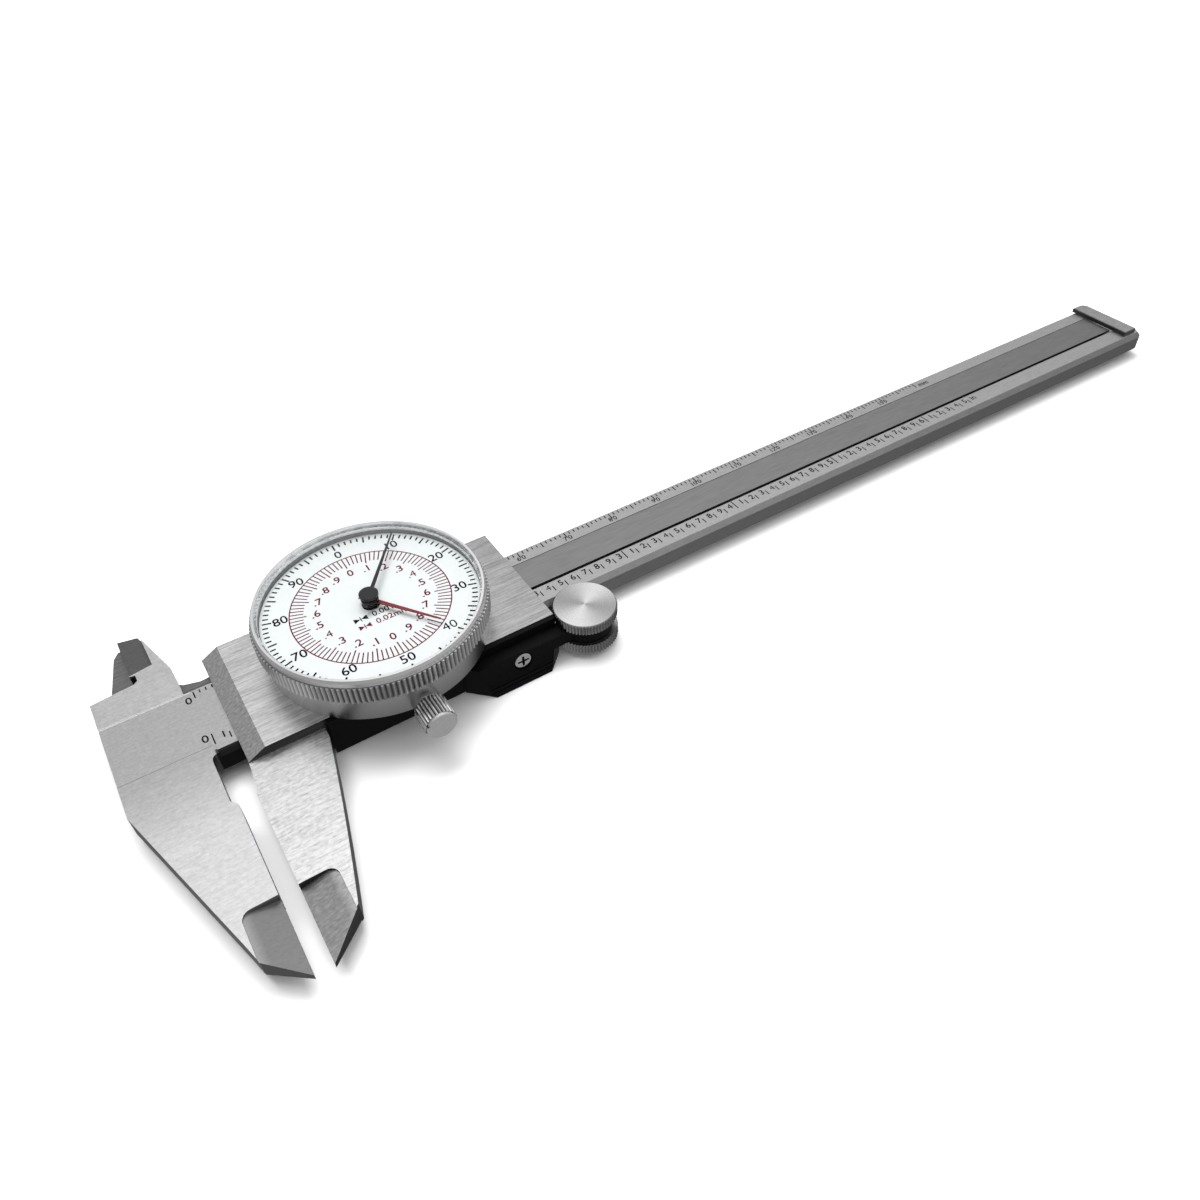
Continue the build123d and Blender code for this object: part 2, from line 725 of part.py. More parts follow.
def make_rack_pinion_arbor():
    """Arbor with the pinion that runs in the rack."""
    lower = -slot_depth + 0.12
    upper = -lip_thickness - 0.08
    root_radius = pinion_pitch_radius - 0.5 * rack_tooth_height
    pinion = toothed_disc(pinion_teeth, pinion_tip_radius, root_radius, upper - lower, 90, 0.24)
    body = Pos(arbor_x, pinion_y, lower) * pinion
    return body + post(arbor_x, pinion_y, lower, bridge_level + bridge_thickness, arbor_radius)


def wheel(teeth, module, x, level, tooth_at):
    """A brass wheel with a hub boss and a bore for its arbor."""
    body = gear(teeth, module, wheel_thickness, tooth_at)
    body += Pos(0, 0, wheel_thickness) * Pos(0, 0, 0.1) * Cylinder(1.1, 0.2)
    rim_radius = teeth * module / 2
    for spoke in range(5):
        angle = 72 * spoke + 36
        body -= Rot(0, 0, angle) * Pos(rim_radius * 0.56, 0, 0) * Cylinder(rim_radius * 0.24, 3)
    body -= Cylinder(arbor_radius, 5)
    return Pos(x, pinion_y, level) * body


def make_inch_wheel():
    return wheel(wheel_inch_teeth, inch_module, arbor_x, inch_level, mesh_angle(arbor_x, dial_x))


def make_metric_wheel():
    return wheel(wheel_metric_teeth, metric_module, arbor_x, metric_level, mesh_angle(arbor_x, dial_x))


def centre_pinion(module, level, bore):
    """Centre pinion; a gap faces the side arbor on the left."""
    gap_at = mesh_angle(dial_x, arbor_x)
    body = gear(centre_teeth, module, wheel_thickness + 0.3, gap_at + 180 / centre_teeth)
    return Pos(dial_x, 0, level - 0.15) * (body - Cylinder(bore, 5))


def make_inch_arbor():
    """Centre arbor with the inch pinion; the inch pointer is pressed on its top."""
    shaft = post(dial_x, 0, deck_rise + 0.3, inch_pointer_z + 0.35, arbor_radius)
    return shaft + centre_pinion(inch_module, inch_level, arbor_radius - 0.1)


def make_metric_sleeve():
    """Sleeve that turns on the centre arbor and carries the metric pinion."""
    z0 = metric_level - 0.15
    tube = post(dial_x, 0, z0, metric_pointer_z + 0.3, sleeve_radius)
    body = tube + centre_pinion(metric_module, metric_level, arbor_radius + running_fit)
    return body - post(dial_x, 0, z0 - 1, metric_pointer_z + 1, arbor_radius + running_fit)


def make_takeup_arbor():
    return post(takeup_x, pinion_y, deck_rise + 0.3, bridge_level + bridge_thickness, arbor_radius)


def make_takeup_wheel():
    """Spring-loaded wheel that takes the backlash out of the inch train."""
    gap_step = 360 / centre_teeth
    centre_gap = mesh_angle(dial_x, arbor_x)
    toward = mesh_angle(dial_x, takeup_x)
    offset = ((toward - centre_gap) / gap_step) % 1.0
    wheel_step = 360 / wheel_inch_teeth
    tooth_at = mesh_angle(takeup_x, dial_x) + offset * wheel_step
    return wheel(wheel_inch_teeth, inch_module, takeup_x, inch_level, tooth_at)


def make_hair_spring():
    """Flat spiral spring around the take-up arbor, with its outer end on a stud."""
    inner_points = []
    outer_points = []
    turns = 4.5
    steps = 54
    for index in range(steps + 1):
        angle = 2 * pi * turns * index / steps
        radius = 0.9 + 0.72 * turns * index / steps
        inner_points.append((radius * cos(angle), radius * sin(angle)))
        outer_points.append(((radius + 0.12) * cos(angle), (radius + 0.12) * sin(angle)))
    inner = Spline(*inner_points)
    outer = Spline(*outer_points)
    start = Line(inner_points[0], outer_points[0])
    finish = Line(inner_points[-1], outer_points[-1])
    band = extrude(make_face([inner, outer, start, finish]), 0.5)
    end_x, end_y = inner_points[-1]
    band = Pos(takeup_x, pinion_y, metric_level + 0.1) * band
    stud = post(takeup_x + end_x, pinion_y + end_y, metric_level + 0.1, bridge_level, 0.3)
    return band + stud


# ---- pointers, dial face, bezel ----
def pointer(angle, level, tip_radius, tail_radius, hub_radius, bore, width):
    """A tapered hand; the angle is read clockwise from the dial's zero."""
    hand = plate(
        [
            (-width, -tail_radius),
            (width, -tail_radius),
            (width * 0.85, 0),
            (0.13, tip_radius),
            (-0.13, tip_radius),
            (-width * 0.85, 0),
        ],
        0,
        0.15,
    )
    body = hand + Pos(0, 0, 0.2) * Cylinder(hub_radius, 0.4)
    body = body - Cylinder(bore, 3)
    return Pos(dial_x, 0, level) * Rot(0, 0, -angle) * body


def make_inch_pointer():
    """Black inch hand with its hub cap; one turn is 2.54 mm."""
    angle = rest_opening / 2.54 * 360
    tip_radius = face_radius - inch_hand_inset
    hand = pointer(angle, inch_pointer_z, tip_radius, 2.6, 1.25, arbor_radius, 0.42)
    cap = Pos(dial_x, 0, inch_pointer_z + 0.6) * Cylinder(1.6, 0.5)
    cap = fillet(cap.edges().sort_by(Axis.Z)[-1:], 0.2)
    return hand + cap


def make_metric_pointer():
    """Red metric hand on the sleeve; one turn is 2 mm."""
    angle = rest_opening / 2.0 * 360
    tip_radius = face_radius - metric_hand_inset
    return pointer(angle, metric_pointer_z, tip_radius, 1.9, 1.45, sleeve_radius, 0.5)


def make_dial_face():
    """Plain disc that carries the two printed scales; it turns with the bezel."""
    body = post(dial_x, 0, face_bottom, face_top, face_radius - 0.05)
    return body - post(dial_x, 0, 0, face_top + 1, 1.5)


def make_bezel():
    """Knurled bezel ring that turns on the housing's spigot and holds face and crystal."""
    knurl = knurled_disc(bezel_teeth, bezel_radius, knurl_depth, bezel_knurl_height)
    knurl = Pos(dial_x, 0, bezel_bottom) * knurl
    knurl_top = bezel_bottom + bezel_knurl_height
    rim_radius = bezel_radius - knurl_depth
    rim = post(dial_x, 0, knurl_top, bezel_top, rim_radius)
    rim = chamfer(rim.edges().filter_by(GeomType.CIRCLE).sort_by(Axis.Z)[-1:], 0.5, 0.25)
    body = knurl + rim
    body -= post(dial_x, 0, bezel_bottom - 1, face_bottom, spigot_radius + bezel_fit)
    body -= post(dial_x, 0, face_bottom, bezel_top + 1, face_radius)
    seat_radius = face_radius + 0.35
    body -= post(dial_x, 0, bezel_top - crystal_rim, bezel_top + 1, seat_radius)
    return body


def make_crystal():
    """Clear domed crystal seated in the bezel's rim."""
    radius = face_radius + 0.33
    seat_z = bezel_top - crystal_rim
    edge_z = bezel_top - 0.1
    top_z = edge_z + crystal_rise
    dome_radius = (radius ** 2 + crystal_rise ** 2) / (2 * crystal_rise)
    dome_z = top_z - dome_radius
    inner_dome = dome_radius - crystal_thickness
    inner_radius = radius - 0.9
    middle = radius / 2
    middle_z = dome_z + sqrt(dome_radius ** 2 - middle ** 2)
    outer = ThreePointArc((0, top_z), (middle, middle_z), (radius, edge_z))
    inner_edge_z = dome_z + sqrt(inner_dome ** 2 - inner_radius ** 2)
    rim = Polyline(
        (radius, edge_z),
        (radius, seat_z),
        (inner_radius, seat_z),
        (inner_radius, inner_edge_z),
    )
    inner = ThreePointArc(
        (inner_radius, inner_edge_z),
        (middle, dome_z + sqrt(inner_dome ** 2 - middle ** 2)),
        (0, top_z - crystal_thickness),
    )
    axis_side = Line((0, top_z - crystal_thickness), (0, top_z))
    section = Plane.XZ * make_face([outer, rim, inner, axis_side])
    return Pos(dial_x, 0, 0) * revolve(section, Axis.Z, 360)


# ---- knobs and roller ----
def knurled_knob(length, radius, teeth):
    """Knurled knob along Z with a plain turned lip at the outer end."""
    body = knurled_disc(teeth, radius, 0.28, length - 0.5)
    lip = Pos(0, 0, length - 0.25) * Cylinder(radius - 0.15, 0.5)
    lip = chamfer(lip.edges().sort_by(Axis.Z)[-1:], 0.2)
    neck = Cylinder(radius - 0.6, 0.3)
    return body + lip + neck


def make_bezel_clamp_screw():
    """Knurled screw that clamps the bezel, radial from the dial's lower side."""
    knob = Rot(90, 0, 0) * knurled_knob(knob_length, knob_radius, knob_teeth)
    knob = Pos(dial_x, knob_y, clamp_height) * knob
    shank_end = -housing_radius + housing_wall + 0.3
    return knob + cross_post(dial_x, clamp_height, knob_y - 0.5, shank_end, shank_radius)


def make_slider_lock_screw():
    """Knurled screw on the upper rail that locks the slider through the gib."""
    start = half_slider + 0.35
    knob = Rot(-90, 0, 0) * knurled_knob(knob_length, knob_radius, knob_teeth)
    knob = Pos(lock_x, start, side_middle) * knob
    shank_low = gib_face + gib_thickness + 0.02
    return knob + cross_post(lock_x, side_middle, shank_low, start + 0.5, shank_radius)


def make_roller_lower_wheel():
    """Thumb roller: lower knurled wheel and hub, turned in one piece."""
    wheel_body = knurled_disc(roller_teeth, roller_radius, 0.25, roller_disc)
    hub_top = roller_top - 0.4
    body = Pos(roller_x, roller_y, roller_bottom) * wheel_body
    mid_top = roller_top - roller_disc
    body += post(roller_x, roller_y, roller_bottom + 0.5, mid_top, roller_hub_radius)
    return body + post(roller_x, roller_y, mid_top - 0.5, hub_top, roller_hub_radius - 1.0)


def make_roller_upper_wheel():
    """Thumb roller: upper knurled wheel pressed on the hub."""
    z0 = roller_top - roller_disc
    wheel = knurled_disc(roller_teeth, roller_radius, 0.25, roller_disc - 0.3)
    body = Pos(roller_x, roller_y, z0) * wheel
    lip = post(roller_x, roller_y, roller_top - 0.3, roller_top, roller_radius - 0.1)
    lip = chamfer(lip.edges().sort_by(Axis.Z)[-1:], 0.12)
    return body + lip - post(roller_x, roller_y, z0 - 1, roller_top - 0.4, roller_hub_radius - 1.0)


parts = {
    "beam": make_beam,
    "rack": make_rack,
    "rack_screws": make_rack_screws,
    "end_stop": make_end_stop,
    "end_stop_screws": make_end_stop_screws,
    "slider_body": make_slider_body,
    "gib_strip": make_gib_strip,
    "gib_screws": make_gib_screws,
    "back_plate": make_back_plate,
    "back_plate_screws": make_back_plate_screws,
    "depth_rod": make_depth_rod,
    "depth_rod_screw": make_depth_rod_screw,
    "thumb_bracket": make_thumb_bracket,
    "bracket_screw": make_bracket_screw,
    "dial_housing": make_dial_housing,
    "housing_screws": make_housing_screws,
    "movement_pillars": make_pillars,
    "movement_bridge": make_bridge,
    "bridge_screws": make_bridge_screws,
    "hair_spring": make_hair_spring,
    "rack_pinion_arbor": make_rack_pinion_arbor,
    "inch_wheel": make_inch_wheel,
    "metric_wheel": make_metric_wheel,
    "inch_arbor": make_inch_arbor,
    "inch_pointer": make_inch_pointer,
    "metric_sleeve": make_metric_sleeve,
    "metric_pointer": make_metric_pointer,
    "takeup_arbor": make_takeup_arbor,
    "takeup_wheel": make_takeup_wheel,
    "dial_face": make_dial_face,
    "bezel": make_bezel,
    "crystal": make_crystal,
    "bezel_clamp_screw": make_bezel_clamp_screw,
    "slider_lock_screw": make_slider_lock_screw,
    "roller_lower_wheel": make_roller_lower_wheel,
    "roller_upper_wheel": make_roller_upper_wheel,
}

os.makedirs("parts", exist_ok=True)
to_origin = Pos(-origin_x, -origin_y, -origin_z)
for name, make in parts.items():
    shape = to_origin * make()
    shape.label = name
    export_step(shape, f"parts/{name}.step")
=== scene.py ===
from math import cos, pi, radians, sin

import bpy
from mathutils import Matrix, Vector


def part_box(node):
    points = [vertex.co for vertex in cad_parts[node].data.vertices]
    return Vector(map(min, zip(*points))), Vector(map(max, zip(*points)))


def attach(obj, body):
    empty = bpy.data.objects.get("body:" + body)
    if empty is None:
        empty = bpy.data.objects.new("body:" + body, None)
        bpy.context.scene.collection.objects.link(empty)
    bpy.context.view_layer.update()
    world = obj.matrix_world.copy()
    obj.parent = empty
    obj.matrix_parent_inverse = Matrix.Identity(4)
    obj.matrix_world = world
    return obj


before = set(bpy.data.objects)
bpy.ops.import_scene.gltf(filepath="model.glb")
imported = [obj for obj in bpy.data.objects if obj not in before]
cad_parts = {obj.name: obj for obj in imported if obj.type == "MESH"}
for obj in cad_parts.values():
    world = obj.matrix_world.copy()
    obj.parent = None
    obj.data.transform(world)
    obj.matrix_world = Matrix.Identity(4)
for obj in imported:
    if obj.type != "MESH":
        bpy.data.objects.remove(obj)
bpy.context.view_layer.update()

# ---- Beam --------------------------------------------------------------------------------------
# The beam is one flat bar of hardened stainless steel with the fixed outside and inside jaws on its
# head. Its faces are ground along the bar, then satin finished, and the jaw tips are hollow ground.


def add_node(tree, kind, **settings):
    node = tree.nodes.new(kind)
    for name, value in settings.items():
        setattr(node, name, value)
    return node


def new_material(name):
    material = bpy.data.materials.new(name)
    material.use_nodes = True
    return material, material.node_tree, material.node_tree.nodes["Principled BSDF"]


def grain_noise(tree, grain, detail=4.0):
    """A noise whose grain is so many cycles per metre along X, Y and Z."""
    place = add_node(tree, "ShaderNodeTexCoord")
    stretch = add_node(tree, "ShaderNodeMapping")
    stretch.inputs["Scale"].default_value = grain
    noise = add_node(tree, "ShaderNodeTexNoise")
    noise.inputs["Scale"].default_value = 1.0
    noise.inputs["Detail"].default_value = detail
    tree.links.new(place.outputs["Object"], stretch.inputs["Vector"])
    tree.links.new(stretch.outputs["Vector"], noise.inputs["Vector"])
    return noise


def turned_noise(tree, centre, rings, flat):
    """A noise in rings about an axis through centre; flat drops the axis's own direction."""
    place = add_node(tree, "ShaderNodeTexCoord")
    shift = add_node(tree, "ShaderNodeMapping")
    shift.inputs["Location"].default_value = [-c * f for c, f in zip(centre, flat)]
    shift.inputs["Scale"].default_value = flat
    radius = add_node(tree, "ShaderNodeVectorMath", operation="LENGTH")
    noise = add_node(tree, "ShaderNodeTexNoise", noise_dimensions="1D")
    noise.inputs["Scale"].default_value = rings
    noise.inputs["Detail"].default_value = 5.0
    tree.links.new(place.outputs["Object"], shift.inputs["Vector"])
    tree.links.new(shift.outputs["Vector"], radius.inputs[0])
    tree.links.new(radius.outputs["Value"], noise.inputs["W"])
    return noise


def blended(tree, first, second, share):
    """Two noises mixed, share of the second."""
    mix = add_node(tree, "ShaderNodeMix", data_type="FLOAT")
    mix.inputs["Factor"].default_value = share
    tree.links.new(first.outputs["Fac"], mix.inputs["A"])
    tree.links.new(second.outputs["Fac"], mix.inputs["B"])
    return mix.outputs["Result"]


def grey(tone, tint=(1.0, 1.0, 1.01)):
    return [tone * t for t in tint] + [1.0]


def slope_tone(tree, steep, tilted):
    """Painted shade: a tone of 1 on faces that look straight up, and less the more they turn away.
    """
    face = add_node(tree, "ShaderNodeNewGeometry")
    split = add_node(tree, "ShaderNodeSeparateXYZ")
    tones = add_node(tree, "ShaderNodeValToRGB")
    tones.color_ramp.elements[0].position = 0.0
    tones.color_ramp.elements[0].color = grey(steep, (1, 1, 1))
    tones.color_ramp.elements[1].position = 0.996
    tones.color_ramp.elements[1].color = grey(1.0, (1, 1, 1))
    tones.color_ramp.elements.new(0.85).color = grey(tilted, (1, 1, 1))
    tones.color_ramp.elements.new(0.984).color = grey(tilted, (1, 1, 1))
    tree.links.new(face.outputs["True Normal"], split.inputs["Vector"])
    tree.links.new(split.outputs["Z"], tones.inputs["Fac"])
    return tones.outputs["Color"]


def place_tone(tree, axis, near, far, first, last):
    """A tone that runs evenly from first to last between two places on an axis."""
    place = add_node(tree, "ShaderNodeTexCoord")
    split = add_node(tree, "ShaderNodeSeparateXYZ")
    tone = add_node(tree, "ShaderNodeMapRange")
    for name, value in zip(("From Min", "From Max", "To Min", "To Max"), (near, far, first, last)):
        tone.inputs[name].default_value = value
    tree.links.new(place.outputs["Object"], split.inputs["Vector"])
    tree.links.new(split.outputs[axis], tone.inputs["Value"])
    return tone.outputs["Result"]


def radius_tone(tree, centre, flat, near, far, first, last):
    """A tone that runs from first to last between two distances from an axis through centre."""
    place = add_node(tree, "ShaderNodeTexCoord")
    shift = add_node(tree, "ShaderNodeMapping")
    shift.inputs["Location"].default_value = [-c * f for c, f in zip(centre, flat)]
    shift.inputs["Scale"].default_value = flat
    radius = add_node(tree, "ShaderNodeVectorMath", operation="LENGTH")
    tone = add_node(tree, "ShaderNodeMapRange")
    for name, value in zip(("From Min", "From Max", "To Min", "To Max"), (near, far, first, last)):
        tone.inputs[name].default_value = value
    tree.links.new(place.outputs["Object"], shift.inputs["Vector"])
    tree.links.new(shift.outputs["Vector"], radius.inputs[0])
    tree.links.new(radius.outputs["Value"], tone.inputs["Value"])
    return tone.outputs["Result"]


def lighter_of(tree, first, second):
    """The larger of two tones, so either one can lift a place out of the other."""
    larger = add_node(tree, "ShaderNodeMath", operation="MAXIMUM")
    tree.links.new(first, larger.inputs[0])
    tree.links.new(second, larger.inputs[1])
    return larger.outputs["Value"]


def line_tone(tree, axis, at, half_width, value):
    """A tone of value along one line across an axis, and 1 elsewhere."""
    place = add_node(tree, "ShaderNodeTexCoord")
    split = add_node(tree, "ShaderNodeSeparateXYZ")
    near = add_node(tree, "ShaderNodeMath", operation="COMPARE")
    near.inputs[1].default_value = at
    near.inputs[2].default_value = half_width
    tone = add_node(tree, "ShaderNodeMapRange")
    tone.inputs["To Min"].default_value = 1.0
    tone.inputs["To Max"].default_value = value
    tone.clamp = False
    tree.links.new(place.outputs["Object"], split.inputs["Vector"])
    tree.links.new(split.outputs[axis], near.inputs[0])
    tree.links.new(near.outputs["Value"], tone.inputs["Value"])
    return tone.outputs["Result"]


def darker_of(tree, first, second):
    """The smaller of two tones."""
    smaller = add_node(tree, "ShaderNodeMath", operation="MINIMUM")
    tree.links.new(first, smaller.inputs[0])
    tree.links.new(second, smaller.inputs[1])
    return smaller.outputs["Value"]


def tone_down(tree, shader, *tones):
    """Multiplies the base colour by each tone."""
    for tone in tones:
        product = add_node(tree, "ShaderNodeVectorMath", operation="MULTIPLY")
        tree.links.new(shader.inputs["Base Color"].links[0].from_socket, product.inputs[0])
        tree.links.new(tone, product.inputs[1])
        tree.links.new(product.outputs["Vector"], shader.inputs["Base Color"])


def finish_metal(
    tree, shader, pattern, dark, light, rough, relief, edge, spread=(0.3, 0.7), tint=(1, 1, 1.01)
):
    """Colour, roughness and scratches from one pattern socket, and rounded edges."""
    colours = add_node(tree, "ShaderNodeValToRGB")
    colours.color_ramp.elements[0].position = spread[0]
    colours.color_ramp.elements[0].color = grey(dark, tint)
    colours.color_ramp.elements[1].position = spread[1]
    colours.color_ramp.elements[1].color = grey(light, tint)
    gloss = add_node(tree, "ShaderNodeMapRange")
    gloss.inputs["From Min"].default_value = spread[0]
    gloss.inputs["From Max"].default_value = spread[1]
    gloss.inputs["To Min"].default_value = rough[0]
    gloss.inputs["To Max"].default_value = rough[1]
    round_edge = add_node(tree, "ShaderNodeBevel", samples=4)
    round_edge.inputs["Radius"].default_value = edge
    scratches = add_node(tree, "ShaderNodeBump")
    scratches.inputs["Strength"].default_value = 1.0
    scratches.inputs["Distance"].default_value = relief
    tree.links.new(pattern, colours.inputs["Fac"])
    tree.links.new(pattern, gloss.inputs["Value"])
    tree.links.new(pattern, scratches.inputs["Height"])
    tree.links.new(round_edge.outputs["Normal"], scratches.inputs["Normal"])
    tree.links.new(colours.outputs["Color"], shader.inputs["Base Color"])
    tree.links.new(gloss.outputs["Result"], shader.inputs["Roughness"])
    tree.links.new(scratches.outputs["Normal"], shader.inputs["Normal"])
    shader.inputs["Metallic"].default_value = 1.0


def ground_steel(
    name, dark, light, grain, blotch, share=0.35, rough=(0.34, 0.5), relief=3e-6, edge=6e-5
):
    """A flat ground finish: grain runs along the grinding, blotch is its coarser unevenness."""
    material, tree, shader = new_material(name)
    pattern = blended(tree, grain_noise(tree, grain), grain_noise(tree, blotch, 3.0), share)
    finish_metal(tree, shader, pattern, dark, light, rough, relief, edge)
    return material, tree, shader


def dress(material, *names):
    """Gives CAD nodes their finish."""
    for name in names:
        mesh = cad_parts[name].data
        mesh.materials.clear()
        mesh.materials.append(material)


beam_low, beam_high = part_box("beam")
head_raise = 0.0002
beam_front = beam_high.z - head_raise
beam_middle = (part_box("depth_rod")[0].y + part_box("depth_rod")[1].y) / 2

beam_lower_edge = beam_middle - 0.008
face_x = beam_low.x + 0.0144
# Where the head's painted light and shade give way to the bar's.
head_shading_end_x = beam_low.x + 0.03
arris_low = beam_front - 0.00045
arris_high = beam_front - 0.00012
beam_finish, beam_tree, beam_shader = ground_steel(
    "beam_satin_steel", 0.50, 0.68, (420, 3600, 3600), (1900, 2600, 2600), share=0.55,
    rough=(0.36, 0.5), relief=1.2e-6,
)
# Painted light and shade on the beam, each tone multiplied into its colour.
tone_down(
    beam_tree, beam_shader,
    # Painted shade on faces turned away from up: deep on the head, milder along the bar.
    lighter_of(
        beam_tree,
        slope_tone(beam_tree, 0.3, 0.5),
        place_tone(beam_tree, "X", head_shading_end_x, head_shading_end_x + 0.03, 0.0, 0.62),
    ),
    # Painted shade on the head's faces that lie below the beam's front face.
    lighter_of(
        beam_tree,
        place_tone(beam_tree, "Z", arris_low, arris_high, 0.6, 1.0),
        place_tone(beam_tree, "X", head_shading_end_x, head_shading_end_x + 0.03, 0.0, 1.0),
    ),
    # Painted shade, deeper still, on the inside jaw's faces below the front face.
    lighter_of(
        beam_tree,
        place_tone(beam_tree, "Z", arris_low, arris_high, 0.4, 1.0),
        place_tone(beam_tree, "Y", beam_middle + 0.0134, beam_middle + 0.0136, 1.0, 0.4),
    ),
    # Painted shade: the bar darker past its head, and darker again towards its far end.
    place_tone(beam_tree, "X", head_shading_end_x, head_shading_end_x + 0.06, 1.0, 0.82),
    place_tone(beam_tree, "X", beam_low.x + 0.1, beam_high.x, 1.0, 0.82),
    # Painted light: the outside jaws lighter towards their tips.
    place_tone(beam_tree, "Y", beam_lower_edge, beam_lower_edge - 0.014, 1.0, 1.45),
    # Painted light above the millimetre scale's edge, on the upper rail and the inside jaw.
    place_tone(beam_tree, "Y", beam_middle + 0.0069, beam_middle + 0.007, 1.0, 1.2),
    # A painted shade line along the scale band's lower step, on the head only.
    lighter_of(
        beam_tree,
        line_tone(beam_tree, "Y", beam_middle - 0.006, 0.00007, 0.3),
        place_tone(beam_tree, "X", face_x - 0.0001, face_x, 0.0, 1.0),
    ),
    # A painted highlight line along the scale band's upper step, on the head only.
    darker_of(
        beam_tree,
        line_tone(beam_tree, "Y", beam_middle + 0.00693, 0.0001, 7.0),
        place_tone(beam_tree, "X", face_x - 0.0001, face_x, 7.0, 1.0),
    ),
    # Painted shadow on the beam's lower chamfer in the throat just past the fixed jaw.
    lighter_of(
        beam_tree,
        place_tone(beam_tree, "Y", beam_middle - 0.00705, beam_middle - 0.00715, 1.0, 0.12),
        lighter_of(
            beam_tree,
            place_tone(beam_tree, "Y", beam_middle - 0.00805, beam_middle - 0.0082, 0.0, 1.0),
            lighter_of(
                beam_tree,
                place_tone(beam_tree, "X", face_x - 0.0002, face_x + 0.0001, 1.0, 0.0),
                place_tone(beam_tree, "X", face_x + 0.005, face_x + 0.006, 0.0, 1.0),
            ),
        ),
    ),
)
dress(beam_finish, "beam")

# ---- Beam scales -------------------------------------------------------------------------------
# Both scales are etched into the beam's front face and filled dark: millimetres along the
# inside-jaw edge, tenths of an inch along the other. Fifth and tenth millimetre lines and whole
# inch lines are longer.


def choose(*objects):
    """Only these objects are selected, and the first is active."""
    bpy.ops.object.select_all(action="DESELECT")
    for thing in objects:
        thing.select_set(True)
    bpy.context.view_layer.objects.active = objects[0]


def settle(thing, name):
    """Puts the object's place into its mesh."""
    choose(thing)
    bpy.ops.object.transform_apply(location=True, rotation=True, scale=True)
    thing.name = name
    thing.data.name = name
    return thing


def together(pieces, name):
    """Joins the pieces into one mesh."""
    choose(*pieces)
    if len(pieces) > 1:
        bpy.ops.object.join()
    return settle(bpy.context.view_layer.objects.active, name)


def etched_line(low, high, depth):
    """One line with rounded ends, standing depth proud of the face that it is filled into."""
    bpy.ops.object.select_all(action="DESELECT")
    middle = [(a + b) / 2 for a, b in zip(low, high)]
    bpy.ops.mesh.primitive_plane_add(size=1, location=middle)
    line = bpy.context.active_object
    line.scale = (high[0] - low[0], high[1] - low[1], 1)
    bpy.ops.object.transform_apply(location=True, rotation=True, scale=True)
    bpy.ops.object.mode_set(mode="EDIT")
    bpy.ops.mesh.select_all(action="SELECT")
    bpy.ops.mesh.bevel(offset=(high[0] - low[0]) * 0.3, segments=2, affect="VERTICES")
    bpy.ops.mesh.extrude_region_move(TRANSFORM_OT_translate={"value": (0, 0, depth)})
    bpy.ops.mesh.select_all(action="SELECT")
    bpy.ops.mesh.normals_make_consistent(inside=False)
    bpy.ops.object.mode_set(mode="OBJECT")
    return line


def row(thing, count, step):
    """Copies a piece along X."""
    choose(thing)
    repeat = thing.modifiers.new("row", "ARRAY")
    repeat.count = count
    repeat.use_relative_offset = False
    repeat.use_constant_offset = True
    repeat.constant_offset_displace = (step, 0, 0)
    bpy.ops.object.modifier_apply(modifier="row")
    return thing


size_per_height = 1.37


def numeral(text, x, y, z, height, depth, bold=0.00003, align="CENTER"):
    """Numerals set on a place, upright along Y, as one flat closed mesh."""
    bpy.ops.object.select_all(action="DESELECT")
    bpy.ops.object.text_add(location=(x, y, z))
    figure = bpy.context.active_object
    figure.data.body = text
    figure.data.size = height * size_per_height
    figure.data.align_x = align
    figure.data.align_y = "CENTER"
    figure.data.resolution_u = 3
    figure.data.extrude = depth
    # Emboldening breaks the small eye of a 4, so any text with one stays thin.
    figure.data.offset = 0 if "4" in text else bold
    bpy.ops.object.convert(target="MESH")
    return bpy.context.active_object


def paint(name, colour, rough, speckle=0.15, sheen=0.3):
    """A thin coat: its tone and gloss vary a little, and it has a fine orange peel."""
    material, tree, shader = new_material(name)
    shader.inputs["Specular IOR Level"].default_value = sheen
    cloud = grain_noise(tree, (900, 900, 900), 5.0)
    colours = add_node(tree, "ShaderNodeValToRGB")
    colours.color_ramp.elements[0].position = 0.3
    colours.color_ramp.elements[0].color = [c * (1 - speckle) for c in colour] + [1]
    colours.color_ramp.elements[1].position = 0.7
    colours.color_ramp.elements[1].color = [min(1.0, c * (1 + speckle)) for c in colour] + [1]
    gloss = add_node(tree, "ShaderNodeMapRange")
    gloss.inputs["To Min"].default_value = rough * 0.8
    gloss.inputs["To Max"].default_value = rough * 1.2
    peel = add_node(tree, "ShaderNodeBump")
    peel.inputs["Strength"].default_value = 0.3
    peel.inputs["Distance"].default_value = 4e-6
    tree.links.new(cloud.outputs["Fac"], colours.inputs["Fac"])
    tree.links.new(cloud.outputs["Fac"], gloss.inputs["Value"])
    tree.links.new(cloud.outputs["Fac"], peel.inputs["Height"])
    tree.links.new(colours.outputs["Color"], shader.inputs["Base Color"])
    tree.links.new(gloss.outputs["Result"], shader.inputs["Roughness"])
    tree.links.new(peel.outputs["Normal"], shader.inputs["Normal"])
    return material


def hand_over(piece, material, body):
    """Gives a finished new piece its finish and the body it rides on."""
    piece.data.materials.clear()
    piece.data.materials.append(material)
    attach(piece, body)


etch_fill = paint("etched_dark_fill", (0.01, 0.01, 0.011), 0.7, sheen=0.05)
etch_depth = 0.00001
line_width = 0.00021
zero_x = beam_low.x + 0.01482
slit_low = beam_middle - 0.00345

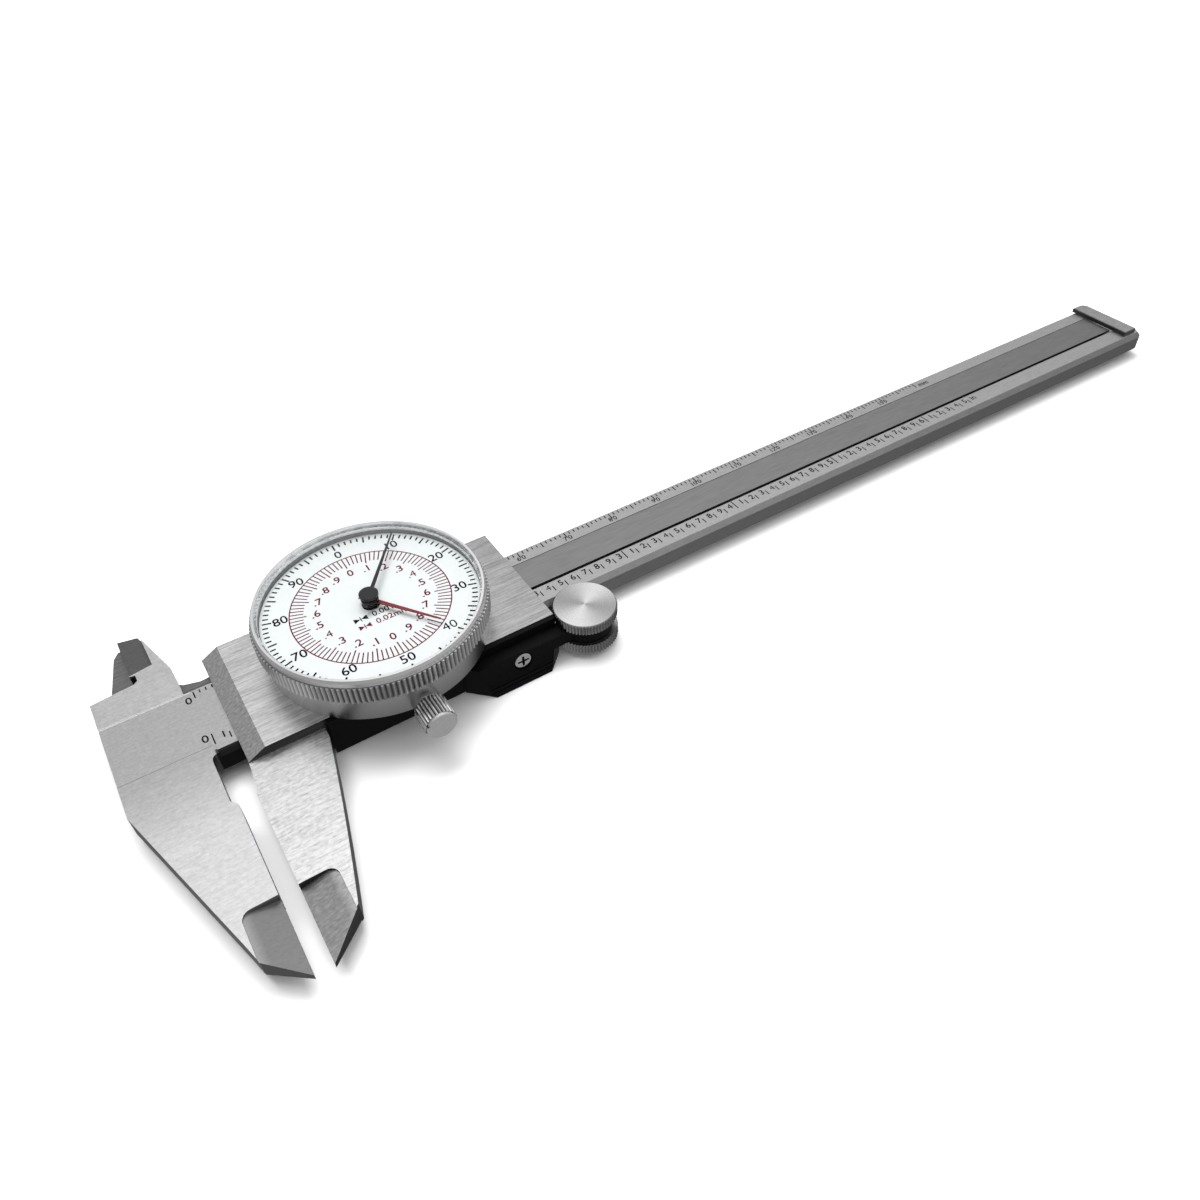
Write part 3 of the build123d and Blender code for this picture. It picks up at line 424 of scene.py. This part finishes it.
metric_top = beam_middle + 0.00678
metric_lines = []
for step, length in ((1, 0.00075), (5, 0.0013), (10, 0.0015)):
    first = etched_line(
        (zero_x - line_width / 2, metric_top - length, beam_front),
        (zero_x + line_width / 2, metric_top, beam_front),
        etch_depth,
    )
    metric_lines.append(row(first, 160 // step + 1, step * 0.001))
metric_zero_y = beam_middle + 0.00515
metric_row_y = beam_middle + 0.0051
metric_height = 0.00112
metric_bold = 0.00002
zero_shift = -0.0011
metric_numbers = [
    numeral("0", zero_x + zero_shift, metric_zero_y, beam_front, 0.0016, etch_depth)
]
for ten in range(10, 151, 10):
    x = zero_x + ten * 0.001
    tens, unit = str(ten)[:-1], str(ten)[-1]
    for text, text_x in ((tens, x - 0.0001 - 0.00038 * len(tens)), (unit, x + 0.00052)):
        metric_numbers.append(
            numeral(text, text_x, metric_row_y, beam_front, metric_height, etch_depth, metric_bold)
        )
metric_end = zero_x + 0.1623
metric_numbers.append(
    numeral("mm", metric_end, beam_middle + 0.0056, beam_front, 0.0013, etch_depth)
)
metric_scale = together(metric_lines + metric_numbers, "metric_scale_marks")
hand_over(metric_scale, etch_fill, "beam")

inch = 0.0254
inch_bottom = beam_middle - 0.00588
tenth_line = etched_line(
    (zero_x - line_width / 2, inch_bottom, beam_front),
    (zero_x + line_width / 2, inch_bottom + 0.00135, beam_front),
    etch_depth,
)
zero_line = etched_line(
    (zero_x - line_width / 2, inch_bottom, beam_front),
    (zero_x + line_width / 2, inch_bottom + 0.0024, beam_front),
    etch_depth,
)
whole_line = etched_line(
    (zero_x + inch - line_width / 2, inch_bottom, beam_front),
    (zero_x + inch + line_width / 2, slit_low - 0.0001, beam_front),
    etch_depth,
)
inch_marks = [row(tenth_line, 66, inch / 10), zero_line, row(whole_line, 6, inch)]
inch_row_y = beam_middle - 0.0047
tenth_shift, tenth_height = -0.0009, 0.0014
inch_marks.append(
    numeral("0", zero_x + zero_shift, beam_middle - 0.0041, beam_front, 0.00165, etch_depth)
)
in_x = zero_x + 6.6 * inch + tenth_shift
inch_marks.append(numeral("in", in_x, inch_row_y, beam_front, tenth_height, etch_depth))
for tenth in range(1, 66):
    text, shift, height = str(tenth % 10), tenth_shift, tenth_height
    if tenth % 10 == 0:
        text, shift, height = str(tenth // 10), zero_shift, 0.0016
    x = zero_x + tenth * inch / 10
    inch_marks.append(numeral(text, x + shift, inch_row_y, beam_front, height, etch_depth))
inch_scale = together(inch_marks, "inch_scale_marks")
hand_over(inch_scale, etch_fill, "beam")

# ---- Rack, end stop and their screws -----------------------------------------------------------
# The rack is a thin toothed strip of darker hardened steel, screwed into the beam's groove from
# behind. The end stop is a small bar screwed across the beam's end that keeps the slider on.

rack_finish, rack_tree, rack_shader = ground_steel(
    "rack_ground_steel", 0.25, 0.36, (300, 5200, 5200), (120, 900, 900), share=0.3,
    rough=(0.36, 0.5), relief=1.5e-6,
)
# Painted shade on the rack's sides and towards the beam's far end.
tone_down(
    rack_tree, rack_shader,
    slope_tone(rack_tree, 0.4, 0.6),
    place_tone(rack_tree, "X", beam_low.x + 0.07, beam_high.x, 1.0, 0.68),
)
dress(rack_finish, "rack")
stop_finish, stop_tree, stop_shader = ground_steel(
    "stop_ground_steel", 0.30, 0.42, (900, 900, 900), (300, 300, 300), relief=1.5e-6
)
# Painted shade on the end stop's faces turned away from up.
tone_down(stop_tree, stop_shader, slope_tone(stop_tree, 0.3, 0.6))
dress(stop_finish, "end_stop")
screw_grain, screw_blotch, screw_gloss = (1500, 1500, 1500), (500, 500, 500), (0.2, 0.36)
screw_finish, screw_tree, screw_shader = ground_steel(
    "plated_screw_steel", 0.55, 0.8, screw_grain, screw_blotch, rough=screw_gloss, relief=1e-6
)
# A little painted shade on the screws' faces turned away from up.
tone_down(screw_tree, screw_shader, slope_tone(screw_tree, 0.9, 0.8))
dress(screw_finish, "rack_screws", "end_stop_screws")

# ---- Slider ------------------------------------------------------------------------------------
# The slider is a stainless steel casting with the moving jaws, brushed hard along the beam on its
# deck. A bronze gib strip with small screws takes up its play, and a plate closes it behind.

slider_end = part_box("slider_body")[1].x
slider_finish, slider_tree, slider_shader = new_material("slider_brushed_steel")
deck_grain = blended(
    slider_tree,
    grain_noise(slider_tree, (150, 3300, 3300), 6.0),
    grain_noise(slider_tree, (1500, 2600, 2600)),
    0.25,
)
jaw_grain = blended(
    slider_tree,
    grain_noise(slider_tree, (420, 3600, 3600)),
    grain_noise(slider_tree, (1300, 2000, 2000)),
    0.5,
)
slider_grain = add_node(slider_tree, "ShaderNodeMix", data_type="FLOAT")
on_jaw = place_tone(slider_tree, "Y", beam_middle - 0.01255, beam_middle - 0.01265, 0.0, 1.0)
slider_tree.links.new(on_jaw, slider_grain.inputs["Factor"])
slider_tree.links.new(deck_grain, slider_grain.inputs["A"])
slider_tree.links.new(jaw_grain, slider_grain.inputs["B"])
finish_metal(
    slider_tree, slider_shader, slider_grain.outputs["Result"],
    0.38, 0.84, (0.3, 0.46), 2.5e-6, 6e-5, spread=(0.28, 0.72),
)
# Painted light and shade on the slider, each tone multiplied into its colour.
tone_down(
    slider_tree, slider_shader,
    # Painted shade on faces turned away from up, near black on the sides.
    slope_tone(slider_tree, 0.05, 0.8),
    # Painted shade on faces below the beam's front face.
    place_tone(slider_tree, "Z", arris_low, arris_high, 0.62, 1.0),
    # Painted shade, deeper, on faces far below the front, such as the arm behind the beam.
    place_tone(slider_tree, "Z", beam_front - 0.0014, beam_front - 0.0018, 1.0, 0.5),
    # Painted light towards the jaws and painted shade towards the slider's far end.
    place_tone(slider_tree, "X", face_x + 0.01, slider_end, 1.25, 0.76),
    # Painted light towards the outside jaw's tip.
    place_tone(slider_tree, "Y", beam_middle - 0.0128, beam_middle - 0.02, 1.0, 1.14),
)
dress(slider_finish, "slider_body")
gib_finish, gib_tree, gib_shader = new_material("phosphor_bronze")
finish_metal(
    gib_tree, gib_shader, grain_noise(gib_tree, (300, 4000, 4000)).outputs["Fac"],
    0.5, 0.7, (0.3, 0.45), 3e-6, 5e-5, tint=(1.0, 0.68, 0.36),
)
dress(gib_finish, "gib_strip")
dress(screw_finish, "gib_screws", "back_plate_screws", "depth_rod_screw")
plate_finish = paint("black_satin_plate", (0.02, 0.02, 0.021), 0.42)
dress(plate_finish, "back_plate")
rod_finish, rod_tree, rod_shader = ground_steel(
    "drawn_rod_steel", 0.4, 0.62, (120, 5000, 5000), (60, 400, 400), relief=1.5e-6
)
# Painted shade on the depth rod's faces turned away from up.
tone_down(rod_tree, rod_shader, slope_tone(rod_tree, 0.6, 0.8))
dress(rod_finish, "depth_rod")

# ---- Thumb bracket and roller ------------------------------------------------------------------
# The thumb bracket is a black moulding screwed under the slider's lower edge. Its eye carries the
# roller: two knurled steel discs on one hub, with turned faces.

bracket_finish = paint("black_moulding", (0.003, 0.003, 0.0035), 0.55, sheen=0.08)
dress(bracket_finish, "thumb_bracket")


def turned_steel(
    name, node, dark, light, flat, rings=9000.0, rough=(0.22, 0.34), relief=1.5e-6, edge=6e-5,
    round_grain=0.5,
):
    """Turned metal: rings about the node's middle, with the radial glint of a faced surface."""
    low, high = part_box(node)
    material, tree, shader = new_material(name)
    centre = (low + high) / 2
    rings_noise = turned_noise(tree, centre, rings, flat)
    fine = grain_noise(tree, (3000, 3000, 3000), 3.0)
    pattern = blended(tree, rings_noise, fine, 0.35)
    finish_metal(tree, shader, pattern, dark, light, rough, relief, edge)
    if round_grain:
        axis = "XYZ"[list(flat).index(0)]
        around = add_node(tree, "ShaderNodeTangent", direction_type="RADIAL", axis=axis)
        tree.links.new(around.outputs["Tangent"], shader.inputs["Tangent"])
        shader.inputs["Anisotropic"].default_value = round_grain
    return material, tree, shader


def fan_tone(tree, node, low, high):
    """Painted glint: two light and two dark sectors round a disc's upright axis, standing in for
    the light a faced surface catches.
    """
    centre = (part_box(node)[0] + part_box(node)[1]) / 2
    place = add_node(tree, "ShaderNodeTexCoord")
    shift = add_node(tree, "ShaderNodeMapping")
    shift.inputs["Location"].default_value = [-c for c in centre]
    around = add_node(tree, "ShaderNodeTexGradient", gradient_type="RADIAL")
    turn = add_node(tree, "ShaderNodeMath", operation="MULTIPLY")
    turn.inputs[1].default_value = 4 * pi
    wave = add_node(tree, "ShaderNodeMath", operation="SINE")
    tone = add_node(tree, "ShaderNodeMapRange")
    for name, value in zip(("From Min", "From Max", "To Min", "To Max"), (-1.0, 1.0, low, high)):
        tone.inputs[name].default_value = value
    tree.links.new(place.outputs["Object"], shift.inputs["Vector"])
    tree.links.new(shift.outputs["Vector"], around.inputs["Vector"])
    tree.links.new(around.outputs["Fac"], turn.inputs[0])
    tree.links.new(turn.outputs["Value"], wave.inputs[0])
    tree.links.new(wave.outputs["Value"], tone.inputs["Value"])
    return tone.outputs["Result"]


upright = (1, 1, 0)
sideways = (1, 0, 1)
roller_finish, roller_tree, roller_shader = turned_steel(
    "turned_roller_steel", "roller_upper_wheel", 0.6, 0.8, upright, round_grain=0.85
)
# Painted shade on the discs' sides, and a painted glint of light and dark sectors on their faces.
tone_down(
    roller_tree, roller_shader,
    slope_tone(roller_tree, 0.5, 0.8),
    fan_tone(roller_tree, "roller_upper_wheel", 0.55, 1.15),
)
dress(roller_finish, "roller_upper_wheel", "roller_lower_wheel")

recess_finish, recess_tree, recess_shader = ground_steel(
    "cross_recess_screw_steel", 0.7, 0.9, screw_grain, screw_blotch, rough=screw_gloss, relief=1e-6
)
head_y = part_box("bracket_screw")[0].y
# Painted shade inside the cross recess, behind the screw head's outer face.
tone_down(
    recess_tree, recess_shader,
    place_tone(recess_tree, "Y", head_y + 0.00004, head_y + 0.00012, 1.0, 0.05),
)
dress(recess_finish, "bracket_screw")

# ---- Dial housing and movement -----------------------------------------------------------------
# The housing is a satin chromed cup screwed to the slider's deck. In it a brass bridge on pillars
# carries the rack pinion, the two gear trains, the take-up wheel and its hair spring.

housing_finish, housing_tree, housing_shader = turned_steel(
    "satin_chromed_housing", "dial_housing", 0.62, 0.76, upright,
    rings=4000.0, rough=(0.3, 0.42), round_grain=0,
)
housing_low, housing_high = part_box("dial_housing")
# Painted shade: the housing darker towards its bottom.
tone_down(
    housing_tree, housing_shader,
    place_tone(housing_tree, "Z", housing_low.z, housing_high.z, 0.45, 1.0),
)
dress(housing_finish, "dial_housing")
brass_finish, brass_tree, brass_shader = new_material("gilt_brass")
finish_metal(
    brass_tree, brass_shader, grain_noise(brass_tree, (2500, 2500, 2500)).outputs["Fac"],
    0.62, 0.85, (0.22, 0.38), 2e-6, 4e-5, tint=(1.0, 0.76, 0.36),
)
dress(
    brass_finish,
    "movement_pillars", "movement_bridge", "inch_wheel", "metric_wheel", "takeup_wheel",
)
arbor_finish, arbor_tree, arbor_shader = ground_steel(
    "polished_arbor_steel", 0.5, 0.7, (2500, 2500, 2500), (600, 600, 600),
    rough=(0.16, 0.26), relief=1e-6,
)
# Painted shade on faces turned away from up.
tone_down(arbor_tree, arbor_shader, slope_tone(arbor_tree, 0.6, 0.9))
dress(
    arbor_finish,
    "rack_pinion_arbor", "inch_arbor", "metric_sleeve", "takeup_arbor", "hair_spring",
)
dress(screw_finish, "housing_screws", "bridge_screws")

# ---- Dial face ---------------------------------------------------------------------------------
# The dial is a white enamelled disc that turns with the bezel. Its printing is a black ring of a
# hundred inch divisions outside and a red ring of a hundred metric divisions inside.

face_finish = paint("white_dial_enamel", (0.545, 0.56, 0.565), 0.5, speckle=0.015, sheen=0.2)
dress(face_finish, "dial_face")
face_low, face_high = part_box("dial_face")
dial_x = (face_low.x + face_high.x) / 2
dial_y = (face_low.y + face_high.y) / 2
face_top = face_high.z
dial_centre = (dial_x, dial_y, face_top)
print_depth = 0.000012


def ring_of_lines(inner, outer, width, count):
    """Radial lines evenly round the dial's centre."""
    line = etched_line(
        (dial_x - width / 2, dial_y + inner, face_top),
        (dial_x + width / 2, dial_y + outer, face_top),
        print_depth,
    )
    bpy.ops.object.mode_set(mode="EDIT")
    bpy.ops.mesh.select_all(action="SELECT")
    bpy.ops.mesh.spin(
        steps=count - 1, dupli=True, angle=2 * pi * (count - 1) / count,
        center=dial_centre, axis=(0, 0, 1),
    )
    bpy.ops.mesh.select_all(action="SELECT")
    bpy.ops.mesh.remove_doubles(threshold=1e-7)
    bpy.ops.mesh.normals_make_consistent(inside=False)
    bpy.ops.object.mode_set(mode="OBJECT")
    return line


def round_line(radius, width):
    """A printed circle round the dial's centre."""
    bpy.ops.object.select_all(action="DESELECT")
    bpy.ops.mesh.primitive_circle_add(vertices=144, radius=radius, location=dial_centre)
    circle = bpy.context.active_object
    bpy.ops.object.transform_apply(location=True, rotation=True, scale=True)
    bpy.ops.object.mode_set(mode="EDIT")
    bpy.ops.mesh.select_all(action="SELECT")
    bpy.ops.mesh.extrude_edges_move()
    wider = 1 + width / radius
    bpy.ops.transform.resize(value=(wider, wider, 1), center_override=dial_centre)
    bpy.ops.mesh.select_all(action="SELECT")
    bpy.ops.mesh.extrude_region_move(TRANSFORM_OT_translate={"value": (0, 0, print_depth)})
    bpy.ops.mesh.select_all(action="SELECT")
    bpy.ops.mesh.normals_make_consistent(inside=False)
    bpy.ops.object.mode_set(mode="OBJECT")
    return circle


def arrows(left, right, y, height):
    """Two arrow heads that point at one short line between them."""
    middle = dial_x + (left + right) / 2
    pieces = [
        etched_line(
            (middle - 0.00008, dial_y + y, face_top),
            (middle + 0.00008, dial_y + y + height, face_top),
            print_depth,
        )
    ]
    for side in (-1, 1):
        bpy.ops.object.select_all(action="DESELECT")
        bpy.ops.mesh.primitive_circle_add(
            vertices=3, radius=0.5, fill_type="NGON", rotation=(0, 0, side * pi / 2),
        )
        head = bpy.context.active_object
        bpy.ops.object.transform_apply(location=True, rotation=True, scale=True)
        head.scale = ((right - left) * 0.6, height * 1.1, 1)
        head.location = (middle + side * (right - left) * 0.33, dial_y + y + height / 2, face_top)
        bpy.ops.object.transform_apply(location=True, rotation=True, scale=True)
        bpy.ops.object.mode_set(mode="EDIT")
        bpy.ops.mesh.select_all(action="SELECT")
        bpy.ops.mesh.extrude_region_move(TRANSFORM_OT_translate={"value": (0, 0, print_depth)})
        bpy.ops.mesh.select_all(action="SELECT")
        bpy.ops.mesh.normals_make_consistent(inside=False)
        bpy.ops.object.mode_set(mode="OBJECT")
        pieces.append(head)
    return pieces


black_print = paint("black_dial_print", (0.003, 0.003, 0.003), 0.7, sheen=0.03)
red_print = paint("dark_red_dial_print", (0.1, 0.008, 0.013), 0.7, sheen=0.03)

arrow_height = 0.00115
value_height, value_bold = 0.00125, 0.00002


def dial_number(text, radius, turn, height):
    """A numeral on a circle round the dial's centre, upright wherever it stands."""
    x, y = dial_x + radius * sin(turn), dial_y + radius * cos(turn)
    return numeral(text, x, y, face_top, height, print_depth)


def dial_value(text, x, y):
    """What one division is worth, printed beside its arrows."""
    place = (dial_x + x, dial_y + y, face_top)
    return numeral(text, *place, value_height, print_depth, value_bold, "LEFT")


outer_marks = [
    ring_of_lines(0.01645, 0.0174, 0.0003, 100),
    ring_of_lines(0.0159, 0.01655, 0.00032, 20),
]
for ten in range(10):
    outer_marks.append(dial_number(str(10 * ten), 0.0145, radians(36 * ten), 0.00185))
outer_marks += arrows(-0.00397, -0.0016, -0.003, arrow_height)
outer_marks.append(dial_value("0.001", -0.00083, -0.00243))
outer_scale = together(outer_marks, "dial_inch_divisions")
hand_over(outer_scale, black_print, "bezel_ring")

red_marks = [
    ring_of_lines(0.01085, 0.01306, 0.0002, 100),
    ring_of_lines(0.01035, 0.01095, 0.00022, 20),
    round_line(0.013, 0.0002),
]
for tenth in range(20):
    text = "." + str(tenth % 10) if tenth % 10 else "0"
    red_marks.append(dial_number(text, 0.0089, radians(18 * tenth), 0.0016))
red_marks += arrows(-0.00385, -0.00172, -0.0049, arrow_height)
red_marks.append(dial_value("0.02mm", -0.00091, -0.00433))
red_scale = together(red_marks, "dial_metric_divisions")
hand_over(red_scale, red_print, "bezel_ring")

# ---- Hands -------------------------------------------------------------------------------------
# The inch hand is black and rides on the centre arbor under a round cap. The metric hand below it
# is red and rides on the sleeve. Both are stamped brass, painted.

black_hand = paint("black_hand_lacquer", (0.012, 0.012, 0.013), 0.3)
dress(black_hand, "inch_pointer")
red_hand = paint("red_hand_lacquer", (0.14, 0.012, 0.014), 0.4)
red_tree = red_hand.node_tree
tone_down(
    red_tree, red_tree.nodes["Principled BSDF"],
    radius_tone(red_tree, (dial_x, dial_y, 0), upright, 0.0016, 0.0019, 0.12, 1.0),
)
dress(red_hand, "metric_pointer")

# ---- Bezel and crystal -------------------------------------------------------------------------
# The bezel is turned aluminium with a knurled rim, and it turns on the housing to set the dial. A
# clear domed crystal is pressed into it over the hands.

bezel_finish, bezel_tree, bezel_shader = turned_steel(
    "satin_bezel_metal", "bezel", 0.9, 1.0, upright,
    rings=5000.0, rough=(0.26, 0.36), round_grain=0,
)
bezel_low, bezel_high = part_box("bezel")
bezel_centre = (bezel_low + bezel_high) / 2
bezel_radius = (bezel_high.x - bezel_low.x) / 2
knurl_root = bezel_radius - 0.00038
# Painted shade on the bezel's steep faces and in the valleys of its knurled band.
tone_down(
    bezel_tree, bezel_shader,
    slope_tone(bezel_tree, 0.85, 1.0),
    lighter_of(
        bezel_tree,
        radius_tone(bezel_tree, bezel_centre, upright, knurl_root, bezel_radius, 0.25, 1.0),
        place_tone(bezel_tree, "Z", bezel_low.z + 0.0031, bezel_low.z + 0.0032, 0.0, 1.0),
    ),
)
dress(bezel_finish, "bezel")

crystal_finish = bpy.data.materials.new("clear_crystal")
crystal_finish.use_nodes = True
crystal_tree = crystal_finish.node_tree
crystal_tree.nodes.remove(crystal_tree.nodes["Principled BSDF"])
clear = add_node(crystal_tree, "ShaderNodeBsdfTransparent")
clear.inputs["Color"].default_value = (0.985, 0.99, 0.99, 1)
gleam = add_node(crystal_tree, "ShaderNodeBsdfGlossy")
facing = add_node(crystal_tree, "ShaderNodeFresnel")
facing.inputs["IOR"].default_value = 1.12
polish = grain_noise(crystal_tree, (400, 400, 400), 2.0)
polish_range = add_node(crystal_tree, "ShaderNodeMapRange")
polish_range.inputs["To Min"].default_value = 0.02
polish_range.inputs["To Max"].default_value = 0.06
soften = add_node(crystal_tree, "ShaderNodeMath", operation="MINIMUM")
soften.inputs[1].default_value = 0.25
layers = add_node(crystal_tree, "ShaderNodeMixShader")
crystal_tree.links.new(facing.outputs["Fac"], soften.inputs[0])
crystal_tree.links.new(polish.outputs["Fac"], polish_range.inputs["Value"])
crystal_tree.links.new(polish_range.outputs["Result"], gleam.inputs["Roughness"])
crystal_tree.links.new(soften.outputs["Value"], layers.inputs["Fac"])
crystal_tree.links.new(clear.outputs["BSDF"], layers.inputs[1])
crystal_tree.links.new(gleam.outputs["BSDF"], layers.inputs[2])
crystal_tree.links.new(
    layers.outputs["Shader"], crystal_tree.nodes["Material Output"].inputs["Surface"]
)
dress(crystal_finish, "crystal")

# ---- Clamp and lock screws ---------------------------------------------------------------------
# Two knurled finger screws of bright plated steel: one holds the bezel where it is set, the other
# locks the slider on the beam.

knob_finish, knob_tree, knob_shader = turned_steel(
    "bright_knob_steel", "bezel_clamp_screw", 0.78, 0.95, sideways,
    rings=8000.0, rough=(0.1, 0.2), round_grain=0.3,
)
knob_low, knob_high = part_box("bezel_clamp_screw")
knob_centre = (knob_low + knob_high) / 2
knob_radius = (knob_high.x - knob_low.x) / 2
# Painted shade in the knurl valleys and a slight painted highlight on the crests, but not on the
# end face.
tone_down(
    knob_tree, knob_shader,
    lighter_of(
        knob_tree,
        radius_tone(
            knob_tree, knob_centre, sideways,
            knob_radius - 0.00025, knob_radius - 0.00005, 0.08, 1.1,
        ),
        place_tone(knob_tree, "Y", knob_low.y + 0.00025, knob_low.y + 0.00035, 1.0, 0.0),
    ),
)
dress(knob_finish, "bezel_clamp_screw", "slider_lock_screw")

# ---- Table, lights and camera ------------------------------------------------------------------
# The caliper lies on a pale seamless table inside a soft light tent, brightest overhead and a
# little to the right. A broad lamp above and behind the head whitens the table and gives the
# soft shadows.

bpy.ops.object.select_all(action="DESELECT")
bpy.ops.mesh.primitive_plane_add(size=6, location=(0, 0, -0.00002))
table = bpy.context.active_object
bpy.ops.object.transform_apply(location=True, rotation=True, scale=True)
table.name = "table"
table.visible_glossy = False
table_finish, _, table_shader = new_material("pale_table")
table_shader.inputs["Base Color"].default_value = (0.9, 0.9, 0.9, 1)
table_shader.inputs["Roughness"].default_value = 0.9
table_shader.inputs["Specular IOR Level"].default_value = 0.1
table.data.materials.append(table_finish)

scene = bpy.context.scene
scene.view_settings.view_transform = "Standard"
world = bpy.data.worlds.new("light_tent")
scene.world = world
world.use_nodes = True
tent = world.node_tree
direction = add_node(tent, "ShaderNodeTexCoord")
height = add_node(tent, "ShaderNodeVectorMath", operation="DOT_PRODUCT")
height.inputs[1].default_value = (0.3, 0.0, 0.95)
tone = add_node(tent, "ShaderNodeMapRange")
tone.inputs["From Min"].default_value = -1.0
walls = add_node(tent, "ShaderNodeValToRGB")
walls.color_ramp.elements[0].position = 0.0
walls.color_ramp.elements[0].color = grey(0.22, (1, 1, 1))
walls.color_ramp.elements[1].position = 1.0
walls.color_ramp.elements[1].color = grey(1.0, (1, 1, 1))
for height_share, strength in ((0.5, 0.2), (0.62, 0.26), (0.83, 0.36), (0.87, 0.5), (0.91, 0.78)):
    walls.color_ramp.elements.new(height_share).color = grey(strength, (1, 1, 1))
tent.links.new(direction.outputs["Generated"], height.inputs[0])
tent.links.new(height.outputs["Value"], tone.inputs["Value"])
tent.links.new(tone.outputs["Result"], walls.inputs["Fac"])
tent.links.new(walls.outputs["Color"], tent.nodes["Background"].inputs["Color"])
tent.nodes["Background"].inputs["Strength"].default_value = 1.6


def soft_light(name, place, turn, size, power, mirrored):
    """A rectangular softbox; mirrored says whether polished metal shows it."""
    lamp = bpy.data.lights.new(name, "AREA")
    lamp.shape = "RECTANGLE"
    lamp.size, lamp.size_y = size
    lamp.energy = power
    holder = bpy.data.objects.new(name, lamp)
    holder.location = place
    holder.rotation_euler = [radians(t) for t in turn]
    holder.visible_glossy = mirrored
    scene.collection.objects.link(holder)


soft_light("overhead_softbox", (-0.05, 0.30, 0.80), (-20, 0, 0), (0.7, 0.5), 9.0, False)

camera_data = bpy.data.cameras.new("camera")
camera_data.lens = 29.464
camera_data.sensor_width = 36.0
camera_data.clip_start = 0.01
camera = bpy.data.objects.new("camera", camera_data)
camera.location = (-0.101092, -0.107198, 0.124724)
camera.rotation_euler = [radians(t) for t in (46.041, 1.888, -32.413)]
scene.collection.objects.link(camera)
scene.camera = camera
